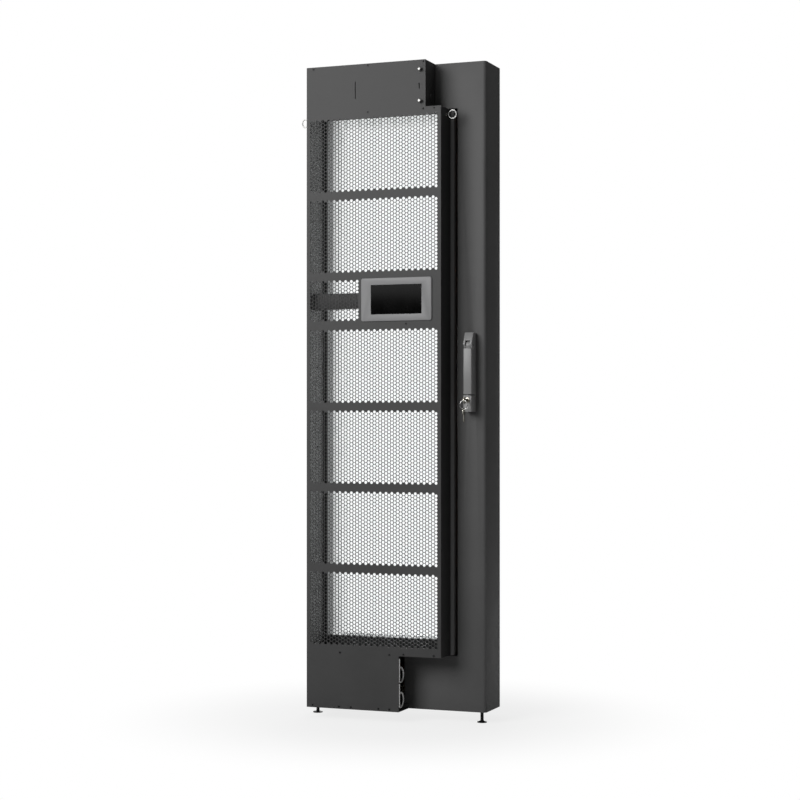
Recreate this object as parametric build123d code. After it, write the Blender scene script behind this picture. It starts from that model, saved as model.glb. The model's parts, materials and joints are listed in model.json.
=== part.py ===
from build123d import *
from math import pi, sin, cos, tan, radians, floor, sqrt
import os

# Rear door heat exchanger: a water cooled door for the back of a computer cabinet.
# While it is built, X runs right from the middle of the leaf, Y runs back from the face of the front
# panel and Z runs up from the door's bottom edge. The last step moves everything so that the origin is
# the middle of the underside of the whole object. All sizes are in millimetres.

# Leaf: the deep folded sheet that closes the cabinet
leaf_w = 600.0
leaf_h = 2000.0
leaf_depth = 136.0
sheet = 2.0
bend_r = 10.0
leaf_flange = 40.0
corner_slit_h = 25.0
corner_slit_w = 2.0

# Housing in front of the leaf: header box, perforated duct and lower box under one front panel
box_depth = 88.0
box_margin = 38.0
duct_right_margin = 115.0
duct_w = leaf_w - box_margin - duct_right_margin
header_w = duct_w * 0.888
header_h = 144.0
lower_w = duct_w * 0.6913
lower_h = 172.5
box_flange = 15.0
strip_w = 12.0
strip_stand_off = 4.0
groove_w = 11.0
duct_slack = 3.0

# Perforated zones of the front panel, from the top. Heights are shares of what the bars, the insets
# and the display's zone leave, and each bar follows its zone.
zone_top_inset = 22.0
zone_foot_inset = 26.0
display_zone_h = 126.0
zone_above_count = 2
zone_below_count = 4
zone_bar = 24.0
display_bar = 27.5
zone_side_inset = 11.0
# The real sheet has holes 9 mm across at a pitch of 11.1 mm. They are drawn coarser here.
hole_pitch = 60.0
hole_bar = 9.0

# Display in the third zone
bezel_w = 232.5
bezel_h = 133.0
bezel_t = 4.0
bezel_r = 7.0
bezel_right_inset = 29.0
screen_w = 167.0
screen_h = 91.0
glass_t = 1.5
module_w = 190.0
module_h = 108.0
module_t = 28.0
bezel_lip = 5.0
tray_h = 49.0
tray_depth = 40.0

# Coil behind the duct
coil_inset = 17.0
coil_depth = 66.0
coil_gap_top = 4.0
coil_gap_bottom = 41.5
coil_y = 125.0
coil_rows = 4
circuits = 6
tube_r = 4.75
fin_groove_pitch = 24.0
fin_groove_w = 2.0
fin_groove_d = 4.0
casing_flange = 16.0
tray_wall = 1.5
tray_height = 18.0

# Water side
manifold_r = 14.0
manifold_gap = 29.0
pipe_r = 11.0
pipe_bend = 30.0
riser_gap = 16.0
supply_z = 125.0
return_z = 63.0
valve_y = 66.0
valve_len = 64.0
valve_r = 17.0
nipple_thread = 16.0
nipple_hex = 10.0
nipple_r = 13.2
nipple_bore = 9.0
return_inset = 9.0
supply_inset = 39.0
return_corner = lower_w * 0.36
supply_corner = lower_w * 0.17
control_len = 70.0
control_offset = 30.0
actuator_h = 66.0
actuator_d = 46.0
stem_r = 4.0
lever_len = 58.0
lever_w = 14.0
lever_t = 3.0
lever_lift = 9.0
vent_r = 6.0
vent_h = 22.0

# Wire rings that hold the hoses at the open side of the lower box
ring_wire_r = 2.5
ring_leg = 31.0
ring_loop_h = 39.0
ring_loop_d = 34.0
ring_top_inset = 8.5
ring_pitch = 77.0
ring_edge_inset = 6.0
seat_gap = 0.3

# Header box contents
controller_w = header_w * 0.33
contents_inset = header_w * 0.09
controller_h = 92.0
controller_d = 42.0
supply_w = header_w * 0.24
supply_offset = header_w * 0.57
supply_h = 80.0
supply_d = 38.0
grommet_r = 11.0
grommet_y = 52.0
grommet_z_up = 32.0
slit_w = 5.0
slit_h = 54.0
slot_w = 4.0
slot_h = 18.0

# Fasteners
screw_r = 3.0
screw_h = 1.2
thumb_r = 6.0
thumb_h = 12.0
thumb_inset = 16.6
thumb_z_inset = 30.0
panel_hole_r = 4.5
eye_wire_r = 2.0
eye_r = 12.5
eye_reach = 22.0
eye_y = 44.0
eye_drop = 22.0

# Swing handle on the leaf, with its lock
handle_w = 27.0
handle_h = 243.0
handle_z = 923.0
handle_proud = 40.0
handle_right_inset = 33.0
base_t = 8.0
lock_h = 50.0
lock_cylinder_r = 8.0
key_rise = 35.0
lever_gap = 3.5
hub_drop = 20.0
pivot_drop = 39.0
pivot_from_base = 14.0
knuckle_handle_r = 13.5
tongue_w = 15.0
side_play = 0.3
fit = 0.05
pin_handle_r = 2.5
spindle_side = 8.0
hub_boss_r = 9.0
hub_slope_h = 34.0
hub_slope_d = 16.0

# Rods and their pinion
pinion_teeth = 10
gear_module = 2.25
pressure_angle = 28.0
tooth_backlash = 0.3
tooth_rise = 2.0
tooth_root = 2.6
rod_w = 9.0
rod_t = 5.0
rod_y = 202.0
rack_teeth = 9
housing_t = 2.0
housing_gap = 2.0
housing_h = 64.0
journal_r = 6.5
guide_h = 20.0
guide_inset = 120.0
guide_mid = 260.0
rod_end_inset = 35.0
keeper_w = 16.0
keeper_t = 3.0
keeper_lip = 14.0
keeper_arm = 5.0
keeper_travel = 12.0
keeper_slack = 3.0
keeper_base_h = 40.0

# Key, ring and spare key
key_t = 2.5
key_bow_r = 11.0
key_shank = 14.0
key_hole_r = 2.6
key_ring_r = 13.0
key_wire_r = 1.1
hang_gap = 0.3
spare_blade = 22.0

# Hinges
hinge_count = 3
hinge_inset = 180.0
hinge_half_h = 40.0
knuckle_r = 8.0
hinge_pin_r = 5.0
hinge_x_inset = 4.0
hinge_back = 12.0
hinge_plate = 3.0
hinge_plate_w = 20.0

# Frame that is bolted to the cabinet
frame_gap = 5.0
frame_depth = 40.0
frame_inset = 15.0
frame_end_inset = 5.0
post_w = 28.0
rail_h = 50.0
seal_w = 12.0
seal_from_edge = 27.0
bolt_r = 3.3
bolt_from_edge = 16.0
bolt_end = 60.0
access_r = 8.0

# Levelling feet
foot_x_inset = 23.5
foot_y_back = 32.0
foot_drop = 35.0
foot_pad_r = 15.0
foot_pad_h = 5.0
foot_stem_r = 5.0
foot_travel = 18.0
bush_r = 9.0
bush_h = 14.0

# Places worked out from the sizes above
leaf_y = box_depth
leaf_back = leaf_y + leaf_depth
left = -leaf_w / 2
right = leaf_w / 2
box_x = left + box_margin
header_x = box_x + header_w
duct_x = box_x + duct_w
lower_x = box_x + lower_w
duct_top = leaf_h - header_h
duct_floor = lower_h
cover_y = leaf_back - 2 * sheet
core_x0 = box_x + coil_inset
core_x1 = duct_x - coil_inset
core_z0 = duct_floor + coil_gap_bottom
core_z1 = duct_top - coil_gap_top
core_y1 = coil_y + coil_depth
row_pitch = coil_depth / coil_rows
row_y = [coil_y + row_pitch * (i + 0.5) for i in range(coil_rows)]
circuit_z = [core_z0 + (core_z1 - core_z0) * (i + 0.5) / circuits for i in range(circuits)]
web_x0 = core_x0 - sheet
web_x1 = core_x1 + sheet
manifold_x = duct_x + manifold_gap
manifold_z0 = core_z0 + riser_gap
manifold_z1 = core_z1 - riser_gap
handle_x = right - handle_right_inset - handle_w / 2
handle_top = handle_z + handle_h
handle_y = leaf_y - handle_proud
base_y = leaf_y - base_t
turn_z = handle_top - hub_drop
pivot_z = handle_top - pivot_drop
pivot_y = base_y - pivot_from_base
lock_top = handle_z + lock_h
key_z = handle_z + key_rise
pinion_r = pinion_teeth * gear_module / 2
upper_rod_x = handle_x - pinion_r - tooth_root - rod_w
lower_rod_x = handle_x + pinion_r + tooth_root
rod_top = leaf_h - rod_end_inset
rod_bottom = rod_end_inset
frame_y = leaf_back + frame_gap
frame_back = frame_y + frame_depth
frame_x = right - frame_inset
frame_z0 = frame_end_inset
frame_z1 = leaf_h - frame_end_inset
hinge_x = left + hinge_x_inset
hinge_y = leaf_back + hinge_back
hinge_span = leaf_h - 2 * hinge_inset
hinge_zs = [hinge_inset + hinge_span * i / (hinge_count - 1) for i in range(hinge_count)]
foot_y = leaf_y + foot_y_back
foot_xs = [left + foot_x_inset, right - foot_x_inset]
bezel_x1 = duct_x - bezel_right_inset
bezel_x = bezel_x1 - bezel_w / 2


def zone_ranges():
    """Top and bottom of each perforated zone."""
    plain = zone_above_count + zone_below_count
    bars = (plain - 1) * zone_bar + display_bar
    left_over = duct_top - duct_floor - zone_top_inset - zone_foot_inset - display_zone_h - bars
    ranges = []
    top = duct_top - zone_top_inset
    for i in range(plain + 1):
        has_display = i == zone_above_count
        height = display_zone_h if has_display else left_over / plain
        ranges.append((top, top - height))
        top -= height + (display_bar if has_display else zone_bar)
    return ranges


zones = zone_ranges()
bezel_z = (zones[zone_above_count][0] + zones[zone_above_count][1]) / 2


def block(x0, x1, y0, y1, z0, z1):
    """A box between two corners."""
    return Pos((x0 + x1) / 2, (y0 + y1) / 2, (z0 + z1) / 2) * Box(x1 - x0, y1 - y0, z1 - z0)


def bar_x(x0, x1, y, z, r):
    """A round bar along X."""
    return Pos((x0 + x1) / 2, y, z) * Rot(0, 90, 0) * Cylinder(r, x1 - x0)


def bar_y(x, y0, y1, z, r):
    """A round bar along Y."""
    return Pos(x, (y0 + y1) / 2, z) * Rot(90, 0, 0) * Cylinder(r, y1 - y0)


def bar_z(x, y, z0, z1, r):
    """A round bar along Z."""
    return Pos(x, y, (z0 + z1) / 2) * Cylinder(r, z1 - z0)


def plate_xz(points, y0, y1):
    """A flat plate whose outline lies in X and Z."""
    face = make_face(Polyline(*[(x, y0, z) for x, z in points], close=True))
    return extrude(face, amount=y1 - y0, dir=(0, 1, 0))


def profile_yz(points, x0, x1):
    """A bar whose section lies in Y and Z."""
    face = make_face(Polyline(*[(x0, y, z) for y, z in points], close=True))
    return extrude(face, amount=x1 - x0, dir=(1, 0, 0))


def profile_xy(points, z0, z1):
    """A bar whose section lies in X and Y."""
    face = make_face(Polyline(*[(x, y, z0) for x, y in points], close=True))
    return extrude(face, amount=z1 - z0, dir=(0, 0, 1))


def hex_x(x0, x1, y, z, across):
    """A hexagonal bar along X, by its size across flats."""
    face = Plane((x0, y, z), x_dir=(0, 1, 0), z_dir=(1, 0, 0)) * RegularPolygon(across / 2, 6, False)
    return extrude(face, amount=x1 - x0, dir=(1, 0, 0))


def turned_x(points, y, z):
    """A turned piece about an axis along X: points are X and radius."""
    line = Polyline(*[(x, y, z + r) for x, r in points], close=True)
    return revolve(make_face(line), Axis((0, y, z), (1, 0, 0)), 360)


def turned_z(points, x, y):
    """A turned piece about an upright axis: points are radius and Z."""
    line = Polyline(*[(x + r, y, z) for r, z in points], close=True)
    return revolve(make_face(line), Axis((x, y, 0), (0, 0, 1)), 360)


def pipe_run(points, r, bend):
    """A round pipe along straight runs joined by bends."""
    path = FilletPolyline(*points, radius=bend)
    start = Plane(origin=path @ 0, z_dir=path % 0)
    return sweep(start * Circle(r), path=path)


def rounded_plate_xz(x, z, w, h, r, y0, y1):
    """A flat plate in X and Z with rounded corners."""
    face = Plane((x, y0, z), x_dir=(1, 0, 0), z_dir=(0, -1, 0)) * RectangleRounded(w, h, r)
    return extrude(face, amount=y1 - y0, dir=(0, 1, 0))


# The leaf

def leaf_shell():
    """Front, sides, top and bottom folded from one sheet, with return flanges round the open back."""
    outer = block(left, right, leaf_y, leaf_back, 0, leaf_h)
    front_edges = outer.edges().filter_by(Axis.Z).group_by(Axis.Y)[0]
    outer = fillet(front_edges, bend_r)
    inner = block(left + sheet, right - sheet, leaf_y + sheet, leaf_back - sheet, sheet, leaf_h - sheet)
    inner_edges = inner.edges().filter_by(Axis.Z).group_by(Axis.Y)[0]
    inner = fillet(inner_edges, bend_r - sheet)
    shell = outer - inner
    shell -= block(left + leaf_flange, right - leaf_flange, cover_y, leaf_back + 1,
                   leaf_flange, leaf_h - leaf_flange)
    front = (leaf_y - 1, leaf_y + sheet + 1)
    shell -= block(box_x - sheet, duct_x + strip_w + groove_w, *front,
                   duct_floor - duct_slack, duct_top + duct_slack)
    shell -= block(box_x + box_flange, lower_x - box_flange, *front,
                   box_flange, duct_floor - box_flange)
    shell -= bar_y(box_x + header_w / 2, *front, leaf_h - header_h / 2, 2 * grommet_r)
    shell -= bar_y(handle_x, *front, turn_z, hub_boss_r + 2 * side_play)
    for side in (left, right):
        inward = 1 if side < 0 else -1
        edge_y = leaf_y + bend_r
        x_pair = sorted((side - inward, side + inward * (sheet + 1)))
        shell -= block(*x_pair, edge_y, edge_y + corner_slit_w, -1, corner_slit_h)
    for x in foot_xs:
        shell -= bar_z(x, foot_y, -1, sheet + 1, foot_stem_r + side_play)
    for slot in keeper_slots():
        shell -= slot
    return shell


def keeper_slots():
    """The space that the keepers need through the back of the leaf."""
    slots = []
    for x, tip, way in keeper_places():
        far = tip + way * (1 + keeper_lip + keeper_arm + keeper_slack)
        near = tip - way * (keeper_travel + keeper_slack)
        half = keeper_w / 2 + keeper_slack
        slots.append(block(x - half, x + half, cover_y - 1, leaf_back + 1, min(far, near), max(far, near)))
    return slots


def keeper_places():
    """X of each rod, its tip and the way that it points."""
    return [(upper_rod_x + rod_w / 2, rod_top, 1), (lower_rod_x + rod_w / 2, rod_bottom, -1)]


def rear_cover():
    """Plate behind the leaf's flanges, with a collar round the air window that meets the coil casing."""
    gap = side_play
    plate = block(left + sheet + gap, right - sheet - gap, cover_y, cover_y + sheet,
                  sheet + gap, leaf_h - sheet - gap)
    collar = block(core_x0 - sheet, core_x1 + sheet, core_y1 + sheet, cover_y, core_z0 - sheet, core_z1 + sheet)
    cover = plate + collar
    cover -= block(core_x0, core_x1, core_y1, leaf_back + 1, core_z0, core_z1)
    for slot in keeper_slots():
        cover -= slot
    return cover


def door_seal():
    """Foam strip round the back of the leaf, just clear of the frame."""
    y0, y1 = leaf_back, frame_y - seat_gap
    x1 = right - seal_from_edge
    z1 = leaf_h - seal_from_edge
    outer = block(-x1, x1, y0, y1, leaf_h - z1, z1)
    w = seal_w
    seal = outer - block(-x1 + w, x1 - w, y0 - 1, y1 + 1, leaf_h - z1 + w, z1 - w)
    for x, tip, way in keeper_places():
        far = leaf_h + 1 if way > 0 else -1
        near = tip - way * (keeper_travel + keeper_base_h)
        half = keeper_w / 2 + keeper_slack
        seal -= block(x - half, x + half, y0 - 1, y1 + 1, min(far, near), max(far, near))
    return seal


# The front housing

def hole_grid(x0, x1, z0, z1):
    """Hexagonal holes in close packed columns that fill a zone."""
    column = hole_pitch * cos(radians(30))
    across = hole_pitch - hole_bar
    columns = floor((x1 - x0 - across) / column) + 1
    rows = floor((z1 - z0 - across - hole_pitch / 2) / hole_pitch) + 1
    grid_w = (columns - 1) * column
    grid_h = (rows - 0.5) * hole_pitch
    first_x = (x0 + x1 - grid_w) / 2
    first_z = (z0 + z1 - grid_h) / 2
    places = []
    for i in range(columns):
        for j in range(rows):
            places.append((first_x + i * column, first_z + (j + 0.5 * (i % 2)) * hole_pitch))
    hexagon = RegularPolygon(across / 2, 6, False, rotation=0)
    return [Plane((x, -1, z), x_dir=(1, 0, 0), z_dir=(0, -1, 0)) * hexagon for x, z in places]


def front_panel():
    """One sheet: head, perforated middle and foot, with seven perforated zones and the display window."""
    panel = plate_xz([(box_x, 0), (lower_x, 0), (lower_x, duct_floor), (duct_x, duct_floor),
                      (duct_x, duct_top), (header_x, duct_top), (header_x, leaf_h), (box_x, leaf_h)], 0, sheet)
    holes = []
    for i, (top, bottom) in enumerate(zones):
        x1 = duct_x - zone_side_inset
        if i == zone_above_count:
            x1 = bezel_x1 - bezel_w
        holes += hole_grid(box_x + zone_side_inset, x1, bottom, top)
    cutters = [extrude(face, amount=sheet + 2, dir=(0, 1, 0)) for face in holes]
    cutters.append(block(bezel_x - module_w / 2, bezel_x + module_w / 2, -1, sheet + 1,
                         bezel_z - module_h / 2, bezel_z + module_h / 2))
    slit_x = box_x + header_w * 0.415
    mid_z = duct_top + header_h * 0.445
    cutters.append(block(slit_x - slit_w / 2, slit_x + slit_w / 2, -1, sheet + 1,
                         mid_z - slit_h / 2, mid_z + slit_h / 2))
    slot_x = header_x - thumb_inset - slot_w
    cutters.append(block(slot_x - slot_w / 2, slot_x + slot_w / 2, -1, sheet + 1,
                         mid_z - slot_h / 2, mid_z + slot_h / 2))
    cutters.append(bar_y(duct_x - thumb_inset, -1, sheet + 1, duct_top - 1.6 * thumb_inset, panel_hole_r))
    return panel - cutters


def header_box():
    """Left, right and top walls folded from one sheet, with flanges that lie on the leaf."""
    walls = block(box_x, header_x, sheet, leaf_y, duct_top, leaf_h)
    walls -= block(box_x + sheet, header_x - sheet, 0, leaf_y - sheet, duct_top - 1, leaf_h - sheet)
    walls -= block(box_x + box_flange, header_x - box_flange, 0, leaf_y + 1, duct_top - 1, leaf_h - box_flange)
    walls -= bar_x(header_x - sheet - 1, header_x + 1, grommet_y, duct_top + grommet_z_up, grommet_r)
    return walls


def cable_grommet():
    """Blind rubber grommet in the header's right wall."""
    z = duct_top + grommet_z_up
    x = header_x
    groove = grommet_r - side_play / 3
    rim = grommet_r + 2
    return turned_x([(x - sheet - 2, 0), (x - sheet - 2, rim), (x - sheet, rim), (x - sheet, groove),
                     (x, groove), (x, rim), (x + 1.5, rim - 1), (x + 1.5, 0)], grommet_y, z)


def duct_walls():
    """Square duct from the front panel to the coil, with a strip beside it at the right."""
    back = coil_y - sheet
    duct = block(box_x, duct_x, sheet, back, duct_floor, duct_top)
    duct -= block(box_x + sheet, duct_x - sheet, 0, back + 1, duct_floor + sheet, duct_top - sheet)
    strip_y = leaf_y - strip_stand_off - sheet
    x1 = duct_x + strip_w
    strip = profile_xy([(duct_x, strip_y), (x1, strip_y), (x1, back), (x1 - sheet, back),
                        (x1 - sheet, strip_y + sheet), (duct_x, strip_y + sheet)], duct_floor, duct_top)
    foot = block(box_x - box_flange, box_x, leaf_y - sheet, leaf_y, duct_floor + box_flange,
                 duct_top - box_flange)
    return duct + strip + foot


def lower_box():
    """Left wall and floor, with flanges that lie on the leaf. The right side is open for the hoses."""
    walls = block(box_x, lower_x, sheet, leaf_y, 0, duct_floor)
    walls -= block(box_x + sheet, lower_x + 1, 0, leaf_y - sheet, sheet, duct_floor + 1)
    walls -= block(box_x + box_flange, lower_x + 1, 0, leaf_y + 1, box_flange, duct_floor + 1)
    return walls


def hose_rings():
    """Two bent wires: a straight leg and a half round loop that a hose passes through."""
    x = lower_x - ring_edge_inset
    y = sheet + ring_wire_r + seat_gap
    rings = []
    for i in range(2):
        top = duct_floor - ring_top_inset - i * ring_pitch
        loop_top = top - ring_leg
        loop_bottom = loop_top - ring_loop_h
        leg = bar_z(x, y, loop_bottom - ring_wire_r, top, ring_wire_r)
        bow = ThreePointArc((x, y, loop_top), (x, y + ring_loop_d, (loop_top + loop_bottom) / 2),
                            (x, y, loop_bottom))
        start = Plane(origin=bow @ 0, z_dir=bow % 0)
        rings.append(leg + sweep(start * Circle(ring_wire_r), path=bow))
    return rings


# Display

def display_bezel():
    """Raised frame with rounded corners and a window for the glass."""
    body = rounded_plate_xz(bezel_x, bezel_z, bezel_w, bezel_h, bezel_r, -bezel_t, 0)
    body = chamfer(body.faces().sort_by(Axis.Y)[0].outer_wire().edges(), bezel_t / 4)
    body -= block(bezel_x - screen_w / 2, bezel_x + screen_w / 2, -bezel_t - 1, -glass_t,
                  bezel_z - screen_h / 2, bezel_z + screen_h / 2)
    lip_w, lip_h = screen_w - 2 * bezel_lip, screen_h - 2 * bezel_lip
    body -= block(bezel_x - lip_w / 2, bezel_x + lip_w / 2, -bezel_t - 1, 1,
                  bezel_z - lip_h / 2, bezel_z + lip_h / 2)
    return body


def display_glass():
    """Touch glass that lies on the bezel's lip."""
    w, h = screen_w - 2 * fit, screen_h - 2 * fit
    return block(bezel_x - w / 2, bezel_x + w / 2, -2 * glass_t, -glass_t, bezel_z - h / 2, bezel_z + h / 2)


def display_module():
    """Closed housing behind the bezel, through the panel's window."""
    w, h = module_w - 2 * side_play, module_h - 2 * side_play
    body = block(bezel_x - w / 2, bezel_x + w / 2, 0, module_t, bezel_z - h / 2, bezel_z + h / 2)
    back = body.faces().sort_by(Axis.Y)[-1].edges()
    return chamfer(back, 3)


def display_tray():
    """Channel across the duct that carries the module and its cables."""
    y0, y1 = module_t, module_t + tray_depth
    z0, z1 = bezel_z - tray_h / 2, bezel_z + tray_h / 2
    points = [(y0, z0), (y1, z0), (y1, z0 + sheet), (y0 + sheet, z0 + sheet),
              (y0 + sheet, z1 - sheet), (y1, z1 - sheet), (y1, z1), (y0, z1)]
    return profile_yz(points, box_x + sheet, duct_x - sheet)


# Coil

def coil_fins():
    """Fin block. Upright grooves on both faces stand for the packs of thin fins."""
    core = block(core_x0, core_x1, coil_y, core_y1, core_z0, core_z1)
    count = floor((core_x1 - core_x0) / fin_groove_pitch)
    first = (core_x0 + core_x1 - (count - 1) * fin_groove_pitch) / 2
    cutters = []
    for i in range(count):
        x = first + i * fin_groove_pitch
        for y0, y1 in ((coil_y - 1, coil_y + fin_groove_d), (core_y1 - fin_groove_d, core_y1 + 1)):
            cutters.append(block(x - fin_groove_w / 2, x + fin_groove_w / 2, y0, y1,
                                 core_z0 - 1, core_z1 + 1))
    return core - cutters


def coil_casing():
    """Folded ring round the fins, with a wide front flange that closes the duct."""
    ring = block(box_x, duct_x, coil_y - sheet, coil_y, duct_floor, duct_top)
    ring += block(core_x0 - sheet, core_x1 + sheet, coil_y, core_y1, core_z0 - sheet, core_z1 + sheet)
    ring += block(core_x0 - casing_flange, core_x1 + casing_flange, core_y1, core_y1 + sheet,
                  core_z0 - casing_flange, core_z1 + casing_flange)
    ring -= block(core_x0, core_x1, coil_y - sheet - 1, core_y1 + sheet + 1, core_z0, core_z1)
    return ring


def return_bend(x, y0, y1, z, way):
    """Half ring that joins two rows outside the casing."""
    middle = (y0 + y1) / 2
    circle = Plane((x, y0, z), x_dir=(0, 1, 0), z_dir=(-way, 0, 0)) * Circle(tube_r)
    turn = 180 if way > 0 else -180
    return revolve(circle, Axis((x, middle, z), (0, 0, 1)), turn)


def coil_bends():
    """Return bends at both ends of the coil."""
    bends = []
    for z in circuit_z:
        bends.append(return_bend(web_x0, row_y[0], row_y[1], z, -1))
        bends.append(return_bend(web_x0, row_y[2], row_y[3], z, -1))
        bends.append(return_bend(web_x1, row_y[1], row_y[2], z, 1))
    return bends


def manifold(y):
    """Upright pipe with one feeder to each circuit."""
    pipe = bar_z(manifold_x, y, manifold_z0, manifold_z1, manifold_r)
    for z in circuit_z:
        pipe += bar_x(web_x1, manifold_x, y, z, tube_r)
    return pipe


def air_vents():
    """Bleed valve on the head of each manifold."""
    vents = []
    z = manifold_z1
    for y in (row_y[0], row_y[-1]):
        vents.append(turned_z([(0, z), (vent_r, z), (vent_r, z + vent_h / 2), (vent_r / 2, z + vent_h / 2),
                               (vent_r / 2, z + vent_h * 0.7), (vent_r * 0.8, z + vent_h * 0.7),
                               (vent_r * 0.8, z + vent_h), (0, z + vent_h)], manifold_x, y))
    return vents


def drip_tray():
    """Tray under the fins, held between the casing's two flanges."""
    z0 = duct_floor + tray_height / 2
    tray = block(core_x0 - sheet, core_x1 + sheet, coil_y, core_y1, z0, z0 + tray_height)
    t = tray_wall
    return tray - block(core_x0 - sheet + t, core_x1 + sheet - t, coil_y + t, core_y1 - t,
                        z0 + t, z0 + tray_height + 1)


# Water side

return_valve_x = lower_x - return_inset - nipple_thread - nipple_hex
supply_valve_x = lower_x - supply_inset - nipple_thread - nipple_hex
control_x0 = box_x + lower_w - control_offset
control_x1 = control_x0 + control_len


def supply_pipe():
    """From the supply valve round the back of the leaf and up to the supply manifold."""
    x0 = supply_valve_x - valve_len
    corner = box_x + supply_corner
    points = [(x0, valve_y, supply_z), (corner, valve_y, supply_z),
              (corner, row_y[0], supply_z), (manifold_x, row_y[0], supply_z),
              (manifold_x, row_y[0], manifold_z0)]
    return pipe_run(points, pipe_r, pipe_bend)


def return_pipe():
    """From the return valve to the control valve, and on to the return manifold."""
    x0 = return_valve_x - valve_len
    y = row_y[-1]
    corner = box_x + return_corner
    first = pipe_run([(x0, valve_y, return_z), (corner, valve_y, return_z),
                      (corner, y, return_z), (control_x0, y, return_z)], pipe_r, pipe_bend)
    second = pipe_run([(control_x1, y, return_z), (manifold_x, y, return_z),
                       (manifold_x, y, manifold_z0)], pipe_r, pipe_bend)
    return [first, second]


def control_valve():
    """Two way valve in the return pipe, with a neck for its drive."""
    y = row_y[-1]
    r = valve_r - 2
    cap = control_len / 5
    body = turned_x([(control_x0, 0), (control_x0, r), (control_x0 + cap, r), (control_x0 + cap * 1.4, valve_r + 2),
                     (control_x1 - cap * 1.4, valve_r + 2), (control_x1 - cap, r), (control_x1, r),
                     (control_x1, 0)], y, return_z)
    middle = (control_x0 + control_x1) / 2
    neck_top = return_z + valve_r + 2 + lever_lift
    return body + bar_z(middle, y, return_z, neck_top, valve_r / 2)


def valve_actuator():
    """Motor drive on the control valve's neck."""
    y = row_y[-1]
    z0 = return_z + valve_r + 2 + lever_lift
    body = block(control_x0, control_x1, y - actuator_d / 2, y + actuator_d / 2 - 1, z0, z0 + actuator_h)
    return fillet(body.edges().filter_by(Axis.Z), 6)


def ball_valves():
    """Two shut-off valves with a round body, flats for a spanner and a bonnet for the stem."""
    valves = []
    for x1, z in ((return_valve_x, return_z), (supply_valve_x, supply_z)):
        x0 = x1 - valve_len
        end = valve_len / 4
        body = hex_x(x0, x0 + end, valve_y, z, 2 * valve_r - 4) + hex_x(x1 - end, x1, valve_y, z, 2 * valve_r - 4)
        body += turned_x([(x0 + end / 2, 0), (x0 + end / 2, valve_r * 0.7), (x0 + end, valve_r * 0.8),
                          (x0 + end * 1.4, valve_r), (x1 - end * 1.4, valve_r), (x1 - end, valve_r * 0.8),
                          (x1 - end / 2, valve_r * 0.7), (x1 - end / 2, 0)], valve_y, z)
        middle = (x0 + x1) / 2
        bonnet_top = z + valve_r + lever_lift / 2
        body += bar_z(middle, valve_y, z, bonnet_top, stem_r + 3)
        body -= bar_z(middle, valve_y, bonnet_top - lever_lift, bonnet_top + 1, stem_r + fit)
        valves.append(body)
    return valves


def shut_off_lever(x1, z):
    """Flat cranked lever on its stem. It lies along the pipe when the valve is open."""
    middle = x1 - valve_len / 2
    bonnet_top = z + valve_r + lever_lift / 2
    stem = bar_z(middle, valve_y, bonnet_top - lever_lift + seat_gap, z + valve_r + lever_lift + lever_t, stem_r)
    z0 = z + valve_r + lever_lift
    grip = block(middle - lever_len, middle, valve_y - lever_w / 2, valve_y + lever_w / 2, z0, z0 + lever_t)
    ends = grip.edges().filter_by(Axis.Z).group_by(Axis.X)[0]
    grip = fillet(ends, lever_w / 2 - 0.5)
    return stem + grip + bar_z(middle, valve_y, z0, z0 + lever_t, lever_w / 2 + 1)


def hose_nipples():
    """Threaded nipples for the two hoses, on the valves."""
    nipples = []
    for x, z in ((return_valve_x, return_z), (supply_valve_x, supply_z)):
        body = hex_x(x, x + nipple_hex, valve_y, z, 2 * valve_r - 4)
        end = x + nipple_hex + nipple_thread
        body += turned_x([(x, 0), (x, nipple_r - 2), (x + nipple_hex, nipple_r - 2), (x + nipple_hex, nipple_r),
                          (end, nipple_r), (end, 0)], valve_y, z)
        nipples.append(body - bar_x(x - 1, end + 1, valve_y, z, nipple_bore))
    return nipples


def temperature_probes():
    """Saddle probe on the foot of each riser."""
    probes = []
    z0 = supply_z + pipe_bend + riser_gap / 2
    for y in (row_y[0], row_y[-1]):
        body = block(manifold_x, manifold_x + pipe_r + 10, y - 6, y + 6, z0, z0 + 30)
        probes.append(body - bar_z(manifold_x, y, z0 - 1, z0 + 31, pipe_r))
    return probes


# Header box contents

def controller():
    """Closed electronics case with two rows of terminals, on the leaf inside the header."""
    x0 = box_x + contents_inset
    z0 = duct_top + (header_h - controller_h) / 2
    body = block(x0, x0 + controller_w, leaf_y - controller_d, leaf_y, z0, z0 + controller_h)
    notch = controller_h / 8
    for z in (z0, z0 + controller_h - notch):
        body -= block(x0 + 6, x0 + controller_w - 6, leaf_y - controller_d - 1, leaf_y - controller_d * 0.6,
                      z - 1, z + notch + 1)
    return body


def power_supply():
    """Power supply beside the controller."""
    x0 = box_x + supply_offset
    z0 = duct_top + (header_h - supply_h) / 2
    body = block(x0, x0 + supply_w, leaf_y - supply_d, leaf_y, z0, z0 + supply_h)
    return chamfer(body.faces().sort_by(Axis.Y)[0].edges(), 2)


# Fasteners

def thumb_screws():
    """Captive screws of the header cover, with a waist under a round head."""
    screws = []
    x = header_x - thumb_inset
    for z in (leaf_h - thumb_z_inset, duct_top + thumb_z_inset / 1.75):
        line = Polyline((x, 0, z), (x + thumb_r, 0, z), (x + thumb_r, -thumb_h / 3, z),
                        (x + thumb_r * 0.7, -thumb_h / 2.4, z), (x + thumb_r * 0.7, -thumb_h * 0.6, z),
                        (x + thumb_r, -thumb_h * 0.7, z), (x + thumb_r * 0.9, -thumb_h, z),
                        (x, -thumb_h, z), close=True)
        screws.append(revolve(make_face(line), Axis((x, 0, z), (0, 1, 0)), 360))
    return screws


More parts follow.
